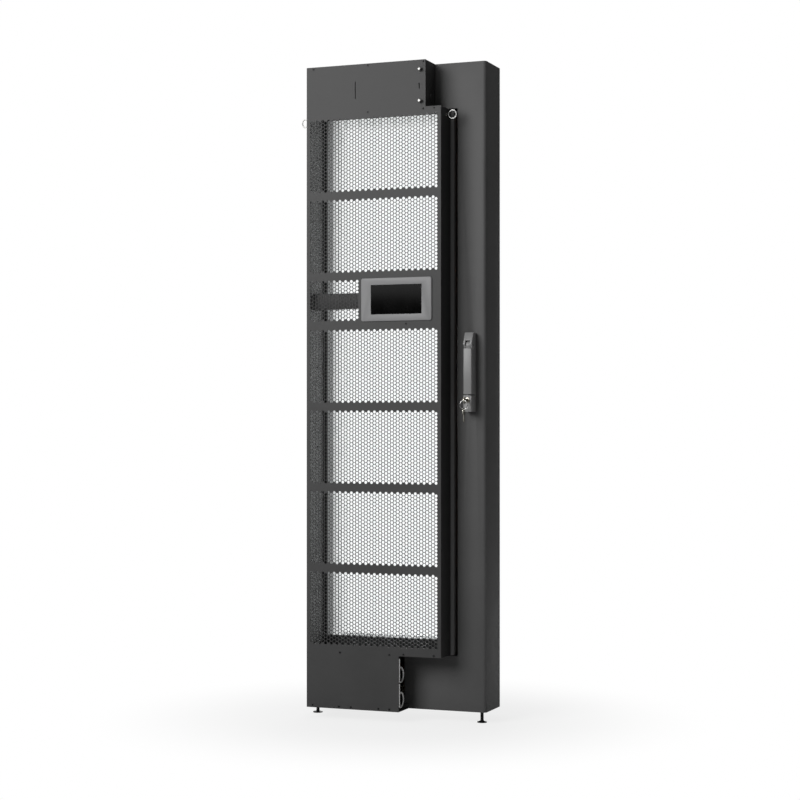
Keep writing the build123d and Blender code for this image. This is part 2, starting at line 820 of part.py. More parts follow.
def screw_places():
    """Small screws of the front panel, as insets from its edges."""
    edge = 6.0
    places = [(box_x + header_w * 0.06, leaf_h - edge), (box_x + header_w * 0.52, leaf_h - edge),
              (header_x - 8.5, leaf_h - edge), (box_x + header_w * 0.52, duct_top - edge),
              (header_x - 8.0, duct_top - edge), (duct_x - 23.0, duct_top - edge)]
    foot_row = duct_floor + edge / 2
    places += [(box_x + lower_w * 0.366, foot_row), (box_x + lower_w * 0.9, foot_row),
               (lower_x + 15.5, foot_row + edge / 2), (duct_x - 23.5, foot_row + edge / 2)]
    for share in (0.067, 0.353, 0.484, 0.782, 0.9):
        places.append((box_x + lower_w * share, edge + 1.6))
    places.append((bezel_x + bezel_w / 7.5, zones[zone_above_count][1] - 2 * edge))
    return places


def panel_screws():
    """Low round heads on the front panel, and the ones inside on the duct's left wall."""
    heads = []
    for x, z in screw_places():
        face = Plane((x, 0, z), x_dir=(1, 0, 0), z_dir=(0, -1, 0)) * RegularPolygon(screw_r, 8)
        heads.append(extrude(face, amount=screw_h, dir=(0, -1, 0)))
    wall = box_x + sheet
    for i, (top, bottom) in enumerate(zones):
        if i != zone_above_count:
            z = (top + bottom) / 2
            face = Plane((wall, leaf_y - box_flange, z), x_dir=(0, 1, 0), z_dir=(1, 0, 0)) * RegularPolygon(4, 8)
            heads.append(extrude(face, amount=screw_h * 2, dir=(1, 0, 0)))
    return heads


def eye_screw(wall, way):
    """Shank out of the duct wall with a round eye that faces the front."""
    z = duct_top - eye_drop
    x = wall + way * eye_reach
    ring = Pos(x, eye_y, z) * Rot(90, 0, 0) * Torus(eye_r, eye_wire_r)
    ends = sorted((wall, x - way * eye_r))
    shank = bar_x(ends[0], ends[1], eye_y, z, eye_wire_r)
    collar = bar_x(min(wall, wall + way * 2), max(wall, wall + way * 2), eye_y, z, 2 * eye_wire_r)
    return ring + shank + collar


# Handle

def handle_base():
    """Plate on the leaf with the lock block at its foot."""
    x0, x1 = handle_x - handle_w / 2, handle_x + handle_w / 2
    points = [(handle_y, handle_z), (leaf_y, handle_z), (leaf_y, handle_top), (base_y, handle_top),
              (base_y, lock_top), (handle_y, lock_top)]
    body = profile_yz(points, x0, x1)
    front_edges = body.edges().filter_by(Axis.Z).group_by(Axis.Y)[0]
    body = chamfer(front_edges, 1.5)
    body -= bar_y(handle_x, handle_y - 1, base_y, key_z, lock_cylinder_r + fit)
    body -= bar_y(handle_x, base_y - 1, leaf_y + 1, turn_z, hub_boss_r + fit)
    return body


def handle_hub():
    """Turning head with two ears for the lever's pin and a sloped top."""
    x0, x1 = handle_x - handle_w / 2, handle_x + handle_w / 2
    back = base_y - side_play
    points = [(back, pivot_z), (back, handle_top), (handle_y + hub_slope_d, handle_top),
              (handle_y, handle_top - hub_slope_h), (handle_y, pivot_z)]
    hub = profile_yz(points, x0, x1)
    hub += bar_x(x0, x1, pivot_y, pivot_z, knuckle_handle_r)
    half = tongue_w / 2 + side_play
    hub -= block(handle_x - half, handle_x + half, handle_y - 1, back + 1,
                 pivot_z - 2 * knuckle_handle_r, pivot_z + knuckle_handle_r + 0.5)
    hub -= bar_x(x0 - 1, x1 + 1, pivot_y, pivot_z, pin_handle_r)
    hub += bar_y(handle_x, back, leaf_y + sheet, turn_z, hub_boss_r)
    return hub


def handle_lever():
    """Grip below the hub, with a tongue between the hub's ears."""
    x0, x1 = handle_x - handle_w / 2, handle_x + handle_w / 2
    back = base_y - side_play
    foot = lock_top + lever_gap
    head = pivot_z - knuckle_handle_r * 0.75
    grip = block(x0, x1, handle_y, back, foot, head)
    grip = chamfer(grip.edges().filter_by(Axis.Z).group_by(Axis.Y)[0], 2)
    grip -= bar_x(x0 - 1, x1 + 1, pivot_y, pivot_z, knuckle_handle_r + 0.5)
    grip -= block(x0 + 4, x1 - 4, back - 16, back + 1, foot + 14, head - 22)
    t0, t1 = handle_x - tongue_w / 2, handle_x + tongue_w / 2
    tongue = bar_x(t0, t1, pivot_y, pivot_z, knuckle_handle_r)
    tongue += block(t0, t1, pivot_y - knuckle_handle_r + 2, pivot_y + knuckle_handle_r - 2, head - 6, pivot_z)
    lever = grip + tongue
    return lever - bar_x(t0 - 1, t1 + 1, pivot_y, pivot_z, pin_handle_r + fit)


def lever_pin():
    """Pin through the ears and the tongue."""
    return bar_x(handle_x - handle_w / 2, handle_x + handle_w / 2, pivot_y, pivot_z, pin_handle_r)


def spindle():
    """Square bar from the hub to the pinion."""
    half = spindle_side / 2
    y1 = rod_y + rod_t + housing_gap + housing_t
    return block(handle_x - half, handle_x + half, leaf_y + sheet, y1, turn_z - half, turn_z + half)


def involute_point(base, radius, start):
    """Point of an involute at a radius, turned by a start angle."""
    roll = sqrt(max((radius / base) ** 2 - 1, 0))
    angle = start + roll - atan_of(roll)
    return radius * cos(angle), radius * sin(angle)


def atan_of(value):
    """Angle whose tangent is the value."""
    return radians(Vector(1, value, 0).get_angle(Vector(1, 0, 0)))


def rod_pinion():
    """Ten tooth pinion with two journals and a square hole."""
    base = pinion_r * cos(radians(pressure_angle))
    tip = pinion_r + tooth_rise
    root = pinion_r - tooth_root
    thickness = pi * gear_module / 2 - tooth_backlash
    roll = tan(radians(pressure_angle))
    pitch_turn = roll - radians(pressure_angle)
    half_base = thickness / 2 / pinion_r + pitch_turn
    points = []
    for i in range(pinion_teeth):
        middle = 2 * pi * i / pinion_teeth
        flank = []
        for step in range(4):
            radius = max(base, root) + (tip - max(base, root)) * step / 3
            x, z = involute_point(base, radius, 0)
            turn = half_base - atan_of(z / x)
            flank.append((radius, turn))
        points.append((root * cos(middle - half_base), root * sin(middle - half_base)))
        points += [(r * cos(middle - t), r * sin(middle - t)) for r, t in flank]
        points += [(r * cos(middle + t), r * sin(middle + t)) for r, t in reversed(flank)]
        points.append((root * cos(middle + half_base), root * sin(middle + half_base)))
    placed = [(handle_x + x, turn_z + z) for x, z in points]
    gear = plate_xz(placed, rod_y, rod_y + rod_t)
    y0 = rod_y - housing_gap - housing_t
    y1 = rod_y + rod_t + housing_gap + housing_t
    gear += bar_y(handle_x, y0, y1, turn_z, journal_r)
    half = spindle_side / 2 + fit
    return gear - block(handle_x - half, handle_x + half, y0 - 1, y1 + 1, turn_z - half, turn_z + half)


def rack_points(pitch_x, way):
    """Toothed edge of a rod beside the pinion: way is +1 where the teeth point to +X."""
    pitch = pi * gear_module
    slope = tan(radians(pressure_angle))
    points = []
    first = turn_z - (rack_teeth / 2) * pitch
    for i in range(rack_teeth):
        z = first + (i + 0.5) * pitch + (pitch / 2 if rack_teeth % 2 else 0)
        root_half = pitch / 4 + tooth_root * slope
        tip_half = pitch / 4 - tooth_rise * slope
        points += [(pitch_x - way * tooth_root, z - root_half), (pitch_x + way * tooth_rise, z - tip_half),
                   (pitch_x + way * tooth_rise, z + tip_half), (pitch_x - way * tooth_root, z + root_half)]
    return points


def rod(x0, tip, tail, way, tooth_way):
    """Flat bar with a rack beside the pinion and a wedge at its tip."""
    y0, y1 = rod_y, rod_y + rod_t
    body = block(x0, x0 + rod_w, y0, y1, min(tip, tail), max(tip, tail))
    tip_face = body.faces().sort_by(Axis.Z)[-1 if way > 0 else 0]
    front_edge = tip_face.edges().filter_by(Axis.X).sort_by(Axis.Y)[0]
    body = chamfer(front_edge, rod_t * 0.4, rod_t * 0.8)
    pitch_x = handle_x - tooth_way * pinion_r
    edge = pitch_x - tooth_way * (tooth_root + 1)
    teeth = rack_points(pitch_x, tooth_way)
    rack = plate_xz([(edge, teeth[0][1])] + teeth + [(edge, teeth[-1][1])], y0, y1)
    return body + rack


def upper_rod():
    """Left rod: runs up to the upper keeper."""
    return rod(upper_rod_x, rod_top, turn_z - housing_h / 2 - 12, 1, 1)


def lower_rod():
    """Right rod: runs down to the lower keeper."""
    return rod(lower_rod_x, rod_bottom, turn_z + housing_h / 2 + 12, -1, -1)


def gearbox_housing():
    """Open channel round the pinion that guides both rods and stands on the rear cover."""
    gap = side_play
    x0, x1 = upper_rod_x - gap - housing_t, lower_rod_x + rod_w + gap + housing_t
    y0 = rod_y - housing_gap - housing_t
    z0, z1 = turn_z - housing_h / 2, turn_z + housing_h / 2
    body = block(x0, x1, y0, cover_y, z0, z1)
    body -= block(x0 + housing_t, x1 - housing_t, y0 + housing_t, rod_y + rod_t + housing_gap, z0 - 1, z1 + 1)
    rear = rod_y + rod_t + housing_gap + housing_t
    body -= block(x0 + housing_t, x1 - housing_t, rear, cover_y + 1, z0 - 1, z1 + 1)
    return body - bar_y(handle_x, y0 - 1, rear + 1, turn_z, journal_r + fit)


def rod_guides():
    """Channel pieces on the rear cover that each hold a rod."""
    guides = []
    places = [(upper_rod_x, leaf_h - guide_inset), (upper_rod_x, turn_z + guide_mid),
              (lower_rod_x, guide_inset), (lower_rod_x, turn_z - guide_mid)]
    gap = side_play
    t = housing_t
    for x0, z in places:
        x1 = x0 + rod_w
        points = [(x0 - gap - t, cover_y), (x0 - gap - t, rod_y - gap - t), (x1 + gap + t, rod_y - gap - t),
                  (x1 + gap + t, cover_y), (x1 + gap, cover_y), (x1 + gap, rod_y - gap),
                  (x0 - gap, rod_y - gap), (x0 - gap, cover_y)]
        guides.append(profile_xy(points, z - guide_h / 2, z + guide_h / 2))
    return guides


def keeper(x, tip, way):
    """Hook on the frame that the rod runs up behind. It is drawn backed off to the end of its slot."""
    y_back = frame_y - seat_gap
    y_plate = y_back - keeper_t
    y_lip = rod_y - side_play - keeper_t
    lip_end = tip + way
    under = lip_end + way * keeper_lip
    top = under + way * keeper_arm
    base_end = top - way * keeper_base_h
    points = [(y_lip, lip_end), (y_lip + keeper_t, lip_end), (y_lip + keeper_t, under),
              (y_plate, under), (y_plate, base_end), (y_back, base_end), (y_back, top), (y_lip, top)]
    hook = profile_yz(points, x - keeper_w / 2, x + keeper_w / 2)
    slot_z = (base_end + under) / 2
    slot = block(x - 2.5, x + 2.5, y_plate - 1, y_back + 1, slot_z - keeper_travel / 2 - 2.5,
                 slot_z + keeper_travel / 2 + 2.5)
    return hook - slot


# Lock and keys

def lock_cylinder():
    """Round lock barrel with a slot for the key."""
    y0 = handle_y - 1
    barrel = bar_y(handle_x, y0, base_y - side_play, key_z, lock_cylinder_r)
    return barrel - block(handle_x - key_t / 2, handle_x + key_t / 2, y0 - 1, y0 + 20, key_z - 4, key_z + 4)


bow_y = handle_y - 1 - key_shank - key_bow_r
ring_y = bow_y - key_bow_r + key_hole_r + 2
ring_top_z = key_z - key_hole_r + key_wire_r + hang_gap
ring_centre_z = ring_top_z - key_ring_r
spare_hole_z = ring_centre_z - key_ring_r - (key_hole_r - key_wire_r - hang_gap)


def key():
    """Flat key in the lock, with a round bow and a hole for the ring."""
    x0, x1 = handle_x - key_t / 2 + fit, handle_x + key_t / 2 - fit
    bow = bar_x(x0, x1, bow_y, key_z, key_bow_r)
    blade = block(x0, x1, bow_y, handle_y + 16, key_z - 3.9, key_z + 3.9)
    return bow + blade - bar_x(x0 - 1, x1 + 1, ring_y, key_z, key_hole_r)


def key_ring():
    """Wire ring through the bow of the key."""
    return Pos(handle_x, ring_y, ring_centre_z) * Rot(90, 0, 0) * Torus(key_ring_r, key_wire_r)


def spare_key():
    """Second key that hangs on the ring."""
    x0, x1 = handle_x - key_t / 2 + fit, handle_x + key_t / 2 - fit
    centre = spare_hole_z - key_bow_r + key_hole_r + 2
    bow = bar_x(x0, x1, ring_y, centre, key_bow_r)
    blade = block(x0, x1, ring_y - 3.5, ring_y + 3.5, centre - key_bow_r - spare_blade, centre)
    tip = blade.faces().sort_by(Axis.Z)[0].edges().filter_by(Axis.X).sort_by(Axis.Y)[0]
    blade = chamfer(tip, 3)
    return bow + blade - bar_x(x0 - 1, x1 + 1, ring_y, spare_hole_z, key_hole_r)


# Hinges

def hinge_door_half(z):
    """Upper half: plate on the leaf's rear flange and a knuckle over the pin."""
    z0, z1 = z + seat_gap / 2, z + hinge_half_h
    plate = block(hinge_x, hinge_x + hinge_plate_w, leaf_back, leaf_back + hinge_plate, z0, z1)
    arm = block(hinge_x - knuckle_r, hinge_x + knuckle_r / 2, leaf_back, hinge_y, z0, z1)
    half = plate + arm + bar_z(hinge_x, hinge_y, z0, z1, knuckle_r)
    return half - bar_z(hinge_x, hinge_y, z0 - 1, z1 + 1, hinge_pin_r + fit)


def hinge_frame_half(z):
    """Lower half: plate on the side of the post and a knuckle that holds the pin."""
    z0, z1 = z - hinge_half_h, z - seat_gap / 2
    side = -frame_x
    plate = block(side - hinge_plate, side, hinge_y + knuckle_r / 2, frame_back - 4, z0, z1)
    arm = block(hinge_x, side, hinge_y - knuckle_r / 2, hinge_y + knuckle_r, z0, z1)
    half = plate + arm + bar_z(hinge_x, hinge_y, z0, z1, knuckle_r)
    return half - bar_z(hinge_x, hinge_y, z0 - 1, z1 + 1, hinge_pin_r + fit / 2)


def hinge_pins():
    """Pins held in the lower halves."""
    return [bar_z(hinge_x, hinge_y, z - hinge_half_h, z + hinge_half_h - 1, hinge_pin_r) for z in hinge_zs]


# Frame on the cabinet

def frame_post(way):
    """Upright channel, open towards the air opening, closed at both ends."""
    outer = frame_x
    inner = frame_x - post_w
    x0, x1 = sorted((way * inner, way * outer))
    post = block(x0, x1, frame_y, frame_back, frame_z0, frame_z1)
    c0, c1 = sorted((way * (inner - 1), way * (outer - sheet)))
    post -= block(c0, c1, frame_y + sheet, frame_back - sheet, frame_z0 + sheet, frame_z1 - sheet)
    x = way * (outer - bolt_from_edge)
    for z in (frame_z0 + bolt_end, frame_z1 - bolt_end):
        post -= bar_y(x, frame_back - sheet - 1, frame_back + 1, z, bolt_r)
        post -= bar_y(x, frame_y - 1, frame_y + sheet + 1, z, access_r)
    return post


def frame_rail(way):
    """Cross channel between the posts, open towards the air opening."""
    edge = frame_z1 if way > 0 else frame_z0
    inner = edge - way * rail_h
    x = frame_x - post_w
    z0, z1 = sorted((edge, inner))
    rail = block(-x, x, frame_y, frame_back, z0, z1)
    c0, c1 = sorted((edge - way * sheet, inner - way))
    return rail - block(-x - 1, x + 1, frame_y + sheet, frame_back - sheet, c0, c1)


# Feet

def levelling_foot(x):
    """Threaded stem with a round pad."""
    z = -foot_drop
    points = [(0, z), (foot_pad_r, z), (foot_pad_r, z + foot_pad_h * 0.6), (foot_stem_r + 2, z + foot_pad_h),
              (foot_stem_r, z + foot_pad_h + 2), (foot_stem_r, bush_h + 10), (0, bush_h + 10)]
    return turned_z(points, x, foot_y)


def foot_bushes():
    """Threaded bushes on the leaf's floor."""
    bushes = []
    for x in foot_xs:
        face = Plane((x, foot_y, sheet)) * RegularPolygon(bush_r, 6, False)
        bush = extrude(face, amount=bush_h)
        bushes.append(bush - bar_z(x, foot_y, 0, bush_h + sheet + 1, foot_stem_r + fit))
    return bushes


parts = {
    "leaf_shell": leaf_shell(),
    "rear_cover": rear_cover(),
    "door_seal": door_seal(),
    "front_panel": front_panel(),
    "header_box": header_box(),
    "duct_walls": duct_walls(),
    "lower_box": lower_box(),
    "hose_rings": hose_rings(),
    "cable_grommet": cable_grommet(),
    "display_bezel": display_bezel(),
    "display_glass": display_glass(),
    "display_module": display_module(),
    "display_tray": display_tray(),
    "coil_fins": coil_fins(),
    "coil_casing": coil_casing(),
    "coil_bends": coil_bends(),
    "supply_manifold": manifold(row_y[0]),
    "return_manifold": manifold(row_y[-1]),
    "air_vents": air_vents(),
    "drip_tray": drip_tray(),
    "supply_pipe": supply_pipe(),
    "return_pipe": return_pipe(),
    "control_valve": control_valve(),
    "valve_actuator": valve_actuator(),
    "ball_valves": ball_valves(),
    "supply_valve_lever": shut_off_lever(supply_valve_x, supply_z),
    "return_valve_lever": shut_off_lever(return_valve_x, return_z),
    "hose_nipples": hose_nipples(),
    "temperature_probes": temperature_probes(),
    "controller": controller(),
    "power_supply": power_supply(),
    "thumb_screws": thumb_screws(),
    "panel_screws": panel_screws(),
    "eye_screws": [eye_screw(box_x, -1), eye_screw(duct_x, 1)],
    "handle_base": handle_base(),
    "handle_hub": handle_hub(),
    "handle_lever": handle_lever(),
    "lever_pin": lever_pin(),
    "spindle": spindle(),
    "rod_pinion": rod_pinion(),
    "upper_rod": upper_rod(),
    "lower_rod": lower_rod(),
    "gearbox_housing": gearbox_housing(),
    "rod_guides": rod_guides(),
    "upper_keeper": keeper(*keeper_places()[0]),
    "lower_keeper": keeper(*keeper_places()[1]),
    "lock_cylinder": lock_cylinder(),
    "key": key(),
    "key_ring": key_ring(),
    "spare_key": spare_key(),
    "hinge_door_halves": [hinge_door_half(z) for z in hinge_zs],
    "hinge_frame_halves": [hinge_frame_half(z) for z in hinge_zs],
    "hinge_pins": hinge_pins(),
    "frame_post_left": frame_post(-1),
    "frame_post_right": frame_post(1),
    "frame_rail_top": frame_rail(1),
    "frame_rail_bottom": frame_rail(-1),
    "left_foot": levelling_foot(foot_xs[0]),
    "right_foot": levelling_foot(foot_xs[1]),
    "foot_bushes": foot_bushes(),
}

# The origin goes to the middle of the underside of everything
solids = {name: [s for item in (made if isinstance(made, list) else [made]) for s in item.solids()]
          for name, made in parts.items()}
whole = Compound([s for group in solids.values() for s in group]).bounding_box()
move = Pos(-(whole.min.X + whole.max.X) / 2, -(whole.min.Y + whole.max.Y) / 2, -whole.min.Z)
print("moved by", [round(v, 4) for v in move.position])

os.makedirs("parts", exist_ok=True)
for name, group in solids.items():
    placed = [move * s for s in group]
    shape = placed[0] if len(placed) == 1 else Compound(placed)
    export_step(shape, f"parts/{name}.step")
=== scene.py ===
import bpy
import bmesh
import json
import math
from mathutils import Matrix, Vector

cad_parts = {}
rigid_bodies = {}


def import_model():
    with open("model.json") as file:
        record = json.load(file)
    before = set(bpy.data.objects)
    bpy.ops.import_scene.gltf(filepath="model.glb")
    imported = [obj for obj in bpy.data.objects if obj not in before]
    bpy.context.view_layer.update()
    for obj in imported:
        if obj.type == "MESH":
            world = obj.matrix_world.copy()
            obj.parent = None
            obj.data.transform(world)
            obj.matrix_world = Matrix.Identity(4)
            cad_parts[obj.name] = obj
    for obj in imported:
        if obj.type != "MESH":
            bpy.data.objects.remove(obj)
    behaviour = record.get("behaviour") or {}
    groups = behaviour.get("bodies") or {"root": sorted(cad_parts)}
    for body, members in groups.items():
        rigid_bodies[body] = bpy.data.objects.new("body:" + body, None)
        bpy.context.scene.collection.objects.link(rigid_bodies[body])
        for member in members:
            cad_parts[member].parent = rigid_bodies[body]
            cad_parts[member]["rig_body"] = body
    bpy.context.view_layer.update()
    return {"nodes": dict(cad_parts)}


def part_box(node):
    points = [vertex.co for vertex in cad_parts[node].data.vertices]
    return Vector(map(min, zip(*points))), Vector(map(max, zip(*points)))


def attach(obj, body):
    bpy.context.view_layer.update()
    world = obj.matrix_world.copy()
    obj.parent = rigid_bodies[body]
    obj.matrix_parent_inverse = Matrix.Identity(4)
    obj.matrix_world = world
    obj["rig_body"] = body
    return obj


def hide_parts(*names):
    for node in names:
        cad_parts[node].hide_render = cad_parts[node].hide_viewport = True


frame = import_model()
NODES = frame["nodes"]
SCENE = bpy.context.scene
MM = 0.001

leaf_low, leaf_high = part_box("leaf_shell")
panel_low, panel_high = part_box("front_panel")
# The row frame lies this far from the middle of the leaf, the panel's face and the door's lower edge
LEAF_X, PANEL_Y, DOOR_Z = (leaf_low.x + leaf_high.x) / 2, panel_low.y, leaf_low.z

# Real sizes of the perforated sheet, in metres
ROW_PITCH = 11.14 * MM
COLUMN_PITCH = 9.65 * MM
HOLE_ACROSS = 9.2 * MM
SHEET = 2.0 * MM


# Building blocks

def linear(code):
    """A colour written as sRGB hex, turned to the linear values that shaders take."""
    channels = [int(code[i:i + 2], 16) / 255 for i in (1, 3, 5)]
    return [c / 12.92 if c <= 0.04045 else ((c + 0.055) / 1.055) ** 2.4 for c in channels] + [1.0]


def add(tree, kind, values=None, links=None, **settings):
    """One node with its settings, its input values and what feeds it."""
    made = tree.nodes.new(kind)
    for key, value in settings.items():
        setattr(made, key, value)
    for key, value in (values or {}).items():
        made.inputs[key].default_value = value
    for key, source in (links or {}).items():
        tree.links.new(source, made.inputs[key])
    return made


def calc(tree, operation, first, second=None):
    """The result of one sum. Each side is a plain number or the socket that feeds it."""
    sides = {0: first, 1: second}
    values = {key: side for key, side in sides.items() if isinstance(side, float)}
    links = {key: side for key, side in sides.items() if side is not None and key not in values}
    return add(tree, "ShaderNodeMath", values, links, operation=operation).outputs[0]


def blank_material(name):
    """An empty material with its output, and the object's own coordinates."""
    made = bpy.data.materials.new(name)
    made.use_nodes = True
    tree = made.node_tree
    tree.nodes.clear()
    output = add(tree, "ShaderNodeOutputMaterial")
    place = add(tree, "ShaderNodeTexCoord").outputs["Object"]
    return made, tree, output, place


def finish_surface(name, shades, rough, grain_mm, relief_mm, metal=0.0, stretch=(1, 1, 1), patch_mm=180.0,
                   specular=0.5, rough_spread=0.06):
    """A surface with broad patches of two near shades, a fine grain in relief, and roughness that follows it."""
    made, tree, output, place = blank_material(name)
    turned = add(tree, "ShaderNodeMapping", {"Scale": stretch}, {"Vector": place}).outputs[0]
    patches = add(tree, "ShaderNodeTexNoise", {"Scale": 1 / (patch_mm * MM), "Detail": 3.0, "Roughness": 0.55},
                  {"Vector": turned})
    colour = add(tree, "ShaderNodeValToRGB", links={"Fac": patches.outputs["Fac"]})
    for stop, code, at in zip(colour.color_ramp.elements, shades, (0.35, 0.65)):
        stop.color, stop.position = linear(code), at
    grain = add(tree, "ShaderNodeTexNoise", {"Scale": 1 / (grain_mm * MM), "Detail": 2.0, "Roughness": 0.6},
                {"Vector": turned})
    relief = add(tree, "ShaderNodeBump", {"Strength": 0.6, "Distance": relief_mm * MM},
                 {"Height": grain.outputs["Fac"]})
    sheen = add(tree, "ShaderNodeMapRange", {"To Min": rough - rough_spread, "To Max": rough + rough_spread},
                {"Value": patches.outputs["Fac"]})
    body = add(tree, "ShaderNodeBsdfPrincipled", {"Metallic": metal, "Specular IOR Level": specular},
               {"Base Color": colour.outputs["Color"], "Roughness": sheen.outputs["Result"],
                "Normal": relief.outputs["Normal"]})
    tree.links.new(body.outputs[0], output.inputs["Surface"])
    return made


FIN_PITCH = 4.0 * MM
# How far from the coil's left end the painted shade on its fins fades out, and the fins turn from solid to
# see-through
FINS_PAINTED_SHADE_TO = 34 * MM
FINS_SOLID_TO, FINS_CLEAR_FROM = 35 * MM, 75 * MM
# How far below the coil's top they start to turn solid as painted shade, and are solid
TOP_CLEAR_BELOW, TOP_SOLID_ABOVE = 45 * MM, 10 * MM


def fin_pack(name):
    """Thin upright aluminium fins with air between them, drawn wider apart than real ones so that they show. Light
    passes between them, and their flanks scatter it. Near the left end and the top the fins carry painted shade, laid
    on by place to match the photograph's brightness there: they turn solid, and darker towards the left end."""
    made, tree, output, place = blank_material(name)
    fin_low, fin_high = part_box("coil_fins")
    left, top, middle = fin_low.x, fin_high.z, (fin_low.y + fin_high.y) / 2
    apart = add(tree, "ShaderNodeSeparateXYZ", links={0: place}).outputs
    share = calc(tree, "FRACT", calc(tree, "DIVIDE", apart["X"], FIN_PITCH))
    edge = calc(tree, "LESS_THAN", share, 0.12)
    patches = add(tree, "ShaderNodeTexNoise", {"Scale": 40.0, "Detail": 2.0}, {"Vector": place})
    tone = add(tree, "ShaderNodeValToRGB", links={"Fac": patches.outputs["Fac"]})
    for stop, code in zip(tone.color_ramp.elements, ("#E6E8E8", "#FAFBFB")):
        stop.color = linear(code)
    # Painted shade: the fins darken towards the coil's left end
    corner = add(tree, "ShaderNodeMapRange", {"From Min": left, "From Max": left + FINS_PAINTED_SHADE_TO,
                                              "To Min": 1.0, "To Max": 0.0}, {"Value": apart["X"]})
    painted_shade_tone = add(tree, "ShaderNodeMix", {"B": linear("#9A9C9C")},
                 {"Factor": corner.outputs["Result"], "A": tone.outputs["Color"]}, data_type="RGBA").outputs[2]
    flank = add(tree, "ShaderNodeBsdfDiffuse", {"Roughness": 0.4}, {"Color": painted_shade_tone})
    through = add(tree, "ShaderNodeBsdfTranslucent", links={"Color": painted_shade_tone})
    metal = add(tree, "ShaderNodeMixShader", {0: 0.85}, {1: flank.outputs[0], 2: through.outputs[0]})
    air = add(tree, "ShaderNodeBsdfTransparent", {"Color": linear("#FEFFFF")})
    # Painted shade: near the left end and the top the fins turn solid, so the white behind them no longer shows
    left_end = add(tree, "ShaderNodeMapRange", {"From Min": left + FINS_SOLID_TO, "From Max": left + FINS_CLEAR_FROM,
                                                "To Min": 1.0, "To Max": 0.0}, {"Value": apart["X"]},
                   interpolation_type="SMOOTHSTEP").outputs["Result"]
    top_end = add(tree, "ShaderNodeMapRange", {"From Min": top - TOP_CLEAR_BELOW, "From Max": top - TOP_SOLID_ABOVE},
                  {"Value": apart["Z"]}, interpolation_type="SMOOTHSTEP").outputs["Result"]
    # Only the front half turns solid, so that light from behind still reaches it
    front = calc(tree, "LESS_THAN", apart["Y"], middle)
    solid = calc(tree, "MULTIPLY", calc(tree, "MAXIMUM", left_end, top_end), front)
    thin = add(tree, "ShaderNodeMapRange", {"To Min": 0.02, "To Max": 0.45}, {"Value": edge}).outputs["Result"]
    cover = calc(tree, "MAXIMUM", thin, solid)
    mixed = add(tree, "ShaderNodeMixShader", links={0: cover, 1: air.outputs[0], 2: metal.outputs[0]})
    tree.links.new(mixed.outputs[0], output.inputs["Surface"])
    return made


# Sheet steel with a fine textured powder coat: an even dark grey with a slight orange peel. It comes as two copies of
# one coat, a lighter one on the leaf as painted light and a darker one on the housing as painted shade
leaf_coat_painted_lighter = finish_surface("powder_coat_dark_grey_painted_lighter", ("#595959", "#5E5E5E"), 0.54, 1.6, 0.05, specular=0.25)
housing_coat_painted_darker = finish_surface("powder_coat_housing_grey_painted_darker", ("#444444", "#494949"), 0.52, 1.6, 0.05, specular=0.3)
# The folded walls behind the front sheet carry a black coat of the same grain, dark enough to serve partly as painted
# shade on the header's side walls
wall_coat_and_painted_shade = finish_surface("powder_coat_black", ("#262626", "#2A2A2A"), 0.55, 1.6, 0.05)


def duct_coat_painted_light_and_shade(name):
    """The duct's coat, with painted light and shade by place that match the photograph's brightness: painted light
    makes the left wall pale, the floor and ceiling stay dark, painted shade makes the groove beside the leaf near
    black, and painted light makes the strip at the right mid grey."""
    made = finish_surface(name, ("#3A3A3A", "#404040"), 0.55, 1.6, 0.05)
    tree = made.node_tree
    body = next(n for n in tree.nodes if n.type == "BSDF_PRINCIPLED")
    place = next(n for n in tree.nodes if n.type == "TEX_COORD").outputs["Object"]
    across = add(tree, "ShaderNodeSeparateXYZ", links={0: place}).outputs["X"]
    start, wall, end = panel_low.x, panel_high.x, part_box("duct_walls")[1].x + 1 * MM
    share = add(tree, "ShaderNodeMapRange", {"From Min": start, "From Max": end}, {"Value": across})
    tone = add(tree, "ShaderNodeValToRGB", links={"Fac": share.outputs["Result"]})
    tone.color_ramp.interpolation = "CONSTANT"
    # Painted light on the left wall and on the strip, painted shade in the groove beside the leaf
    painted_light_and_shade_stops = ((start, "#A4A4A4"), (start + 5 * MM, "#3C3C3C"),
             (wall - 3 * MM, "#1F1F1F"), (wall + 0.5 * MM, "#6C6C6C"))
    while len(tone.color_ramp.elements) < len(painted_light_and_shade_stops):
        tone.color_ramp.elements.new(1.0)
    for stop, (x, code) in zip(tone.color_ramp.elements, painted_light_and_shade_stops):
        stop.position, stop.color = (x - start) / (end - start), linear(code)
    tree.links.new(tone.outputs["Color"], body.inputs["Base Color"])
    return made


duct_painted_light_and_shade = duct_coat_painted_light_and_shade("powder_coat_duct_painted_light_and_shade")
frame_coat = finish_surface("powder_coat_satin_black", ("#303031", "#363637"), 0.45, 1.6, 0.04)
fins = fin_pack("aluminium_fins_with_painted_shade")
# The coil's casing is coated dark as painted shade, because the photograph shows a dark band below the fins; the real
# casing is galvanised
casing_coat_painted_shade = finish_surface("powder_coat_casing_painted_shade", ("#2E2F2F", "#343535"), 0.6, 1.6, 0.05, specular=0.2)

# Hot dip galvanised sheet: pale grey with broad crystals
galvanised = finish_surface("galvanised_sheet", ("#A4A8AA", "#B9BDBF"), 0.45, 2.0, 0.02, 0.5, patch_mm=14.0)
# Drawn copper tube, handled and slightly dulled
copper = finish_surface("drawn_copper", ("#B4714E", "#C98562"), 0.3, 3.0, 0.01, 1.0, patch_mm=60.0)
# Nickel plated brass fittings
nickel_brass = finish_surface("nickel_plated_brass", ("#B9B29F", "#C9C3B2"), 0.25, 1.5, 0.01, 1.0, patch_mm=30.0)
dipped_plastic = finish_surface("dipped_blue_plastic", ("#1E3A70", "#24427C"), 0.35, 1.0, 0.02, patch_mm=40.0)
